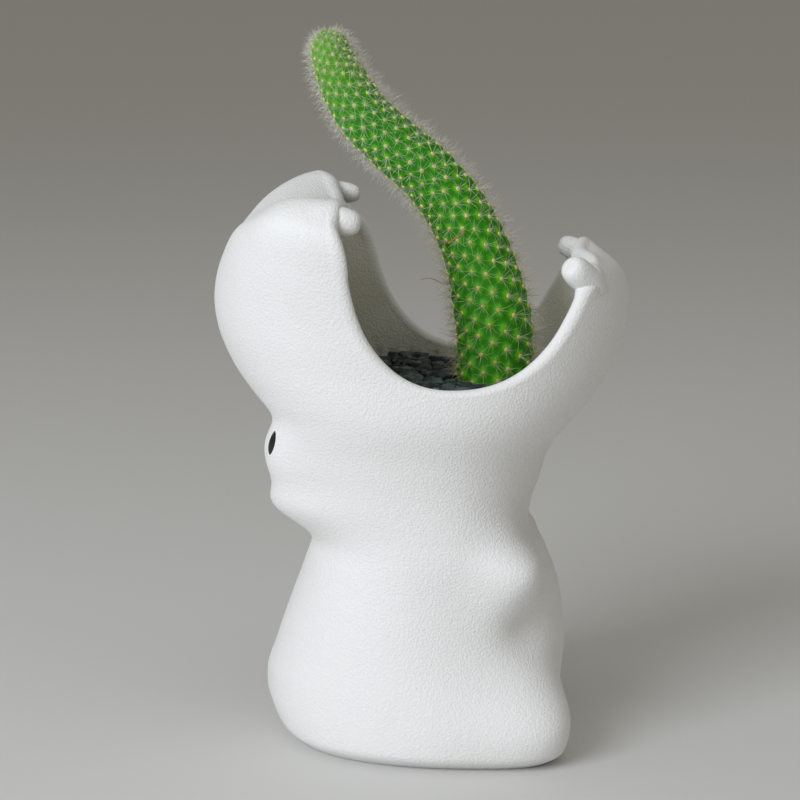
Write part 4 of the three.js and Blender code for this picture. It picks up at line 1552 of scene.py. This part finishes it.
        # Any way that isn't along the spine will do to find one across it.
        side = unit(np.cross(aim, np.roll(aim, 1, axis=-1) + 0.3))
        angle = circle(3)[:, None]
        disc = np.cos(angle) * side[:, None] + np.sin(angle) * np.cross(aim, side)[:, None]
        bow = random.normal(0, self.spine_bow, len(length))[:, None] * length * side
        stations = np.array(self.spine_places)[:, None]
        widths = self.spine_radius * np.array(self.spine_widths)
        path = start[:, None] + stations * (length * aim)[:, None]
        path += 4 * stations * (1 - stations) * bow[:, None]
        points, faces = capped(path[:, :, None] + widths[:, None, None] * disc[:, None])
        age = np.repeat(place / self.length, self.spines * (len(points) // len(length)))
        return add_piece("cactus_spines", points, faces, self.horn, age=age)

    def build_scar(self) -> Piece:
        """Builds a thin corky scar: a wavering tube half sunk in the right side of the bend.

        Returns:
            The scar.
        """
        share = np.linspace(0, 1, 40)
        place = self.place_at(self.scar_height - 1.9 * share ** 0.7)
        turn = np.radians(-86 - 68 * share + 3 * np.sin(9 * share))
        widths = self.scar_width * np.sin(math.pi * share) ** 0.5 * (1 + 0.4 * np.sin(31 * share)) + 0.03
        points, faces = tube(self.surface(turn, place), widths)
        return add_piece("cactus_scar", points, faces, self.cork)

    def build_thread(self) -> Piece:
        """Builds a withered thread: a thinning tube that waves off the stem's back, low down.

        Returns:
            The thread.
        """
        share = np.linspace(0, 1, 24)
        start = self.surface(np.radians(-178), self.place_at(self.thread_height), -0.5)
        off = np.stack([-10 * share, -0.6 * share, 1.7 * share - 0.55 * np.sin(7 * share)], axis=-1)
        points, faces = tube(start + off, self.thread_width * (1 - 0.6 * share))
        return add_piece("cactus_dry_thread", points, faces, self.cork)


@dataclass
class Filling:
    """What fills the pot: netting, gravel, soil and roots below, and slate chips on top.

    Attributes:
        form: the pot's form, whose cavity holds the chips.
        grit: how many small chips are strewn, some of which fall on the stem and are left out.
        smallest, largest: the reach of the small chips.
        stem_x, stem_radius: the stem, which the chips keep clear of.
        corners: corners of a flake.
        ring_reach, ring_height: reach and height of a flake's bottom, middle and top, as shares.
        jagged: how far a flake's corners are broken in.
        shift, chipped, rough_top: how far its corners stray round it, out and in, and up and down.
        narrow, thick: a flake's least and greatest width and thickness, as shares of its reach.
        lean: how far flakes lean, in degrees.
        crease: the angle in degrees past which a flake's edges stay sharp.
        chip_tints: the darkest and the palest of the larger chips, from 0 to 1.
        sunk, pile: how high a small chip lies, as a share of its reach, and how high they are piled.
        clearance: how far from the stem its middle stays, as a share of its reach.
        seed: of what is random.
        hidden: the finishes of the layers that keep their solids.
    """

    form: HippoForm
    grit: int = 900
    smallest: float = 1.1
    largest: float = 4.2
    stem_x: float = 24.2
    stem_radius: float = 12.7
    corners: int = 7
    ring_reach: Triple = (0.86, 1.0, 0.74)
    ring_height: Triple = (-1, -0.1, 1)
    jagged: float = 0.42
    shift: float = 0.55
    chipped: tuple[float, float] = (0.9, 1.05)
    rough_top: tuple[float, float] = (-0.2, 0.2)
    narrow: tuple[float, float] = (0.55, 0.95)
    thick: tuple[float, float] = (0.22, 0.42)
    lean: float = 16.0
    crease: float = 32.0
    chip_tints: tuple[float, float] = (0.15, 1)
    sunk: float = 0.25
    pile: float = 1.2
    clearance: float = 0.7
    seed: int = 4
    slate: Finish = field(default_factory=BrokenSlate)
    hidden: dict[str, Finish] = field(default_factory=lambda: {
        "drain_mesh": MouldedPlastic(),
        "drainage_gravel": LooseGround("rounded_gravel", "gravel", 6.0, "#8D8474", "#A89F8E", "#3A342B"),
        "potting_soil": LooseGround("peat_soil", "soil"),
        "root_ball": LooseGround("bound_roots", "roots", 2.4, "#6B5238", "#8C7452", "#2E2317"),
        "slate_bed": LooseGround("slate_crumbs", "slate", 2.2, "#2A2C29", "#3E423F", "#131210"),
    })

    def __post_init__(self) -> None:
        """Starts the scatter and finds the height of the bed."""
        self.random = np.random.default_rng(self.seed)
        self.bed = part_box("slate_bed")[1][2] / MM

    def build(self) -> list[Piece]:
        """Dresses the hidden layers, and builds the loose chips and the small ones between them.

        Returns:
            The chips.
        """
        for name, finish in self.hidden.items():
            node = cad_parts[name]
            node.data.materials.clear()
            node.data.materials.append(finish.material())
        return [*self.build_chips(), self.build_grit()]

    def flakes(self, count: int) -> Array:
        """Returns broken flakes of unit reach about their middle.

        Each has three rings of uneven corners: a bottom, a broad middle and a smaller top. It leans and is
        turned.

        Args:
            count: how many.

        Returns:
            Points as flake, ring, corner and coordinate.
        """
        random = self.random
        one, row, ring = (count, 1, 1), (count, 1, self.corners), (count, 3, self.corners)
        angle = FULL_TURN * (np.arange(self.corners) + random.uniform(0, self.shift, row)) / self.corners
        uneven = 1 - self.jagged * random.uniform(0, 1, row)
        reach = np.array(self.ring_reach)[:, None] * uneven * random.uniform(*self.chipped, ring)
        narrow = random.uniform(*self.narrow, one)
        thick = random.uniform(*self.thick, one)
        height = thick * (np.array(self.ring_height)[:, None] + random.uniform(*self.rough_top, ring))
        x, y, z = reach * np.cos(angle), narrow * reach * np.sin(angle), height
        lean = np.radians(random.normal(0, self.lean, one))
        yaw = random.uniform(0, FULL_TURN, one)
        y, z = y * np.cos(lean) - z * np.sin(lean), y * np.sin(lean) + z * np.cos(lean)
        x, y = x * np.cos(yaw) - y * np.sin(yaw), x * np.sin(yaw) + y * np.cos(yaw)
        return np.stack([x, y, z], axis=-1)

    def build_chips(self) -> list[Piece]:
        """Builds each larger chip as a flake stretched to fill its solid's box.

        Returns:
            The chips.
        """
        names = sorted(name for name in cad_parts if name.startswith("slate_chip_"))
        made = []
        for name, flake in zip(names, self.flakes(len(names))):
            low, high = (np.array(corner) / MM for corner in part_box(name))
            least, most = flake.min(axis=(0, 1)), flake.max(axis=(0, 1))
            rings = low + (flake - least) / (most - least) * (high - low)
            points, faces = capped(rings[None])
            tint = np.full(len(points), self.random.uniform(*self.chip_tints))
            made.append(add_piece(f"{name}_flake", points, faces, self.slate, (name,), self.crease,
                                  tint=tint))
        return made

    def build_grit(self) -> Piece:
        """Builds the small chips that lie between the larger ones, strewn evenly over the bed.

        Returns:
            All of them as one piece.
        """
        random = self.random
        turn = random.uniform(0, FULL_TURN, self.grit)
        wall = self.form.inside(turn, np.full(self.grit, self.bed), self.form.wall)
        room = np.linalg.norm(wall[:, :2], axis=-1) - self.largest
        reach = room * np.sqrt(random.uniform(0, 1, self.grit))
        size = self.smallest + (self.largest - self.smallest) * random.uniform(0, 1, self.grit) ** 2
        x, y = reach * np.cos(turn), reach * np.sin(turn)
        clear = np.hypot(x - self.stem_x, y) > self.stem_radius + self.clearance * size
        x, y, size = x[clear], y[clear], size[clear]
        height = self.bed + self.sunk * size + random.uniform(0, self.pile, len(x))
        middle = np.stack([x, y, height], axis=-1)
        rings = middle[:, None, None] + size[:, None, None, None] * self.flakes(len(x))
        points, faces = capped(rings)
        tint = np.repeat(random.uniform(0, 1, len(x)) ** 1.5, len(points) // len(x))
        return add_piece("slate_grit", points, faces, self.slate, sharp=self.crease, tint=tint)


@dataclass(frozen=True)
class Lamp:
    """A square soft lamp that faces the pot.

    Attributes:
        name: its name.
        place: where it hangs.
        size: its side.
        watts: its power.
        colour: its colour.
    """

    name: str
    place: Triple
    size: float
    watts: float
    colour: str

    def hang(self, target: Triple) -> None:
        """Hangs the lamp.

        Args:
            target: the point that it faces.
        """
        light = bpy.data.lights.new(self.name, "AREA")
        light.size = self.size * MM
        light.energy = self.watts
        light.color = linear(self.colour)[:3]
        hung = bpy.data.objects.new(self.name, light)
        hung.location = Vector(self.place) * MM
        hung.rotation_euler = (Vector(target) - Vector(self.place)).to_track_quat("-Z", "Y").to_euler()
        bpy.context.scene.collection.objects.link(hung)


@dataclass
class Studio:
    """A plain pale floor, soft studio light and the camera.

    Attributes:
        azimuth, elevation: the camera's angles round and above the pot, in degrees.
        distance: from the camera to its target.
        target: the point in the middle of the picture.
        focal: the focal length in pixels of a picture of that many pixels across.
        picture: how many pixels across the picture is.
        sensor: the camera's sensor width.
        floor_reach, floor_colour, floor_dullness: half the floor's side, its colour and its roughness.
        sky_colour, sky_strength: the even light from all round.
        lamps: a cool key lamp and top lamp, and a weak warm fill.
    """

    azimuth: float = 3.0
    elevation: float = 10.5
    distance: float = 800.0
    target: Triple = (-7.0, 0.0, 113.0)
    focal: float = 2406.0
    picture: float = 800.0
    sensor: float = 36.0
    floor_reach: float = 30000.0
    floor_colour: str = "#D9D8D5"
    floor_dullness: float = 0.8
    sky_colour: str = "#ECE8DE"
    sky_strength: float = 0.32
    lamps: tuple[Lamp, ...] = (
        Lamp("key", (-950, -1300, 850), 1000, 23.2, "#F1F7FF"),
        Lamp("top", (100, -450, 1500), 1200, 3.0, "#F1F7FF"),
        Lamp("fill", (1300, -900, 500), 1200, 0.5, "#FFEBD0"),
    )

    def build(self) -> None:
        """Builds the floor, the lamps, the sky and the camera, and sets the plain view."""
        self.build_floor()
        for lamp in self.lamps:
            lamp.hang(self.target)
        self.build_sky()
        self.build_camera()
        bpy.context.scene.view_settings.view_transform = "Standard"

    def build_floor(self) -> None:
        """Builds the floor as one flat square."""
        corners = np.array([(-1, -1, 0), (1, -1, 0), (1, 1, 0), (-1, 1, 0)]) * self.floor_reach * MM
        mesh = bpy.data.meshes.new("floor")
        mesh.from_pydata(corners.tolist(), [], [(0, 1, 2, 3)])
        paint = bpy.data.materials.new("pale_floor")
        paint.use_nodes = True
        shader = paint.node_tree.nodes["Principled BSDF"]
        shader.inputs["Base Color"].default_value = linear(self.floor_colour)
        shader.inputs["Roughness"].default_value = self.floor_dullness
        mesh.materials.append(paint)
        floor = bpy.data.objects.new("floor", mesh)
        bpy.context.scene.collection.objects.link(floor)

    def build_sky(self) -> None:
        """Gives the world an even pale light."""
        world = bpy.data.worlds.new("studio")
        world.use_nodes = True
        sky = world.node_tree.nodes["Background"]
        sky.inputs["Color"].default_value = linear(self.sky_colour)
        sky.inputs["Strength"].default_value = self.sky_strength
        bpy.context.scene.world = world

    def build_camera(self) -> None:
        """Sets the camera where the picture was taken from."""
        round_about, above = math.radians(self.azimuth), math.radians(self.elevation)
        level = math.cos(above)
        away = Vector((math.sin(round_about) * level, -math.cos(round_about) * level, math.sin(above)))
        camera = bpy.data.cameras.new("camera")
        camera.sensor_width = self.sensor
        camera.lens = self.sensor * self.focal / self.picture
        camera.clip_end = 100.0
        stand = bpy.data.objects.new("camera", camera)
        stand.location = (Vector(self.target) + away * self.distance) * MM
        stand.rotation_euler = (-away).to_track_quat("-Z", "Y").to_euler()
        bpy.context.scene.collection.objects.link(stand)
        bpy.context.scene.camera = stand


def main() -> None:
    """Builds the studio and the pot."""
    logging.basicConfig(level=logging.INFO, format="%(message)s")
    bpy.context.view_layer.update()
    Studio().build()
    form = HippoForm()
    for piece in [*CeramicPot(form).build(), *Filling(form).build(), *Cactus().build()]:
        LOG.info("%s: %d faces", piece.name, len(piece.data.polygons))


if __name__ == "__main__":
    main()
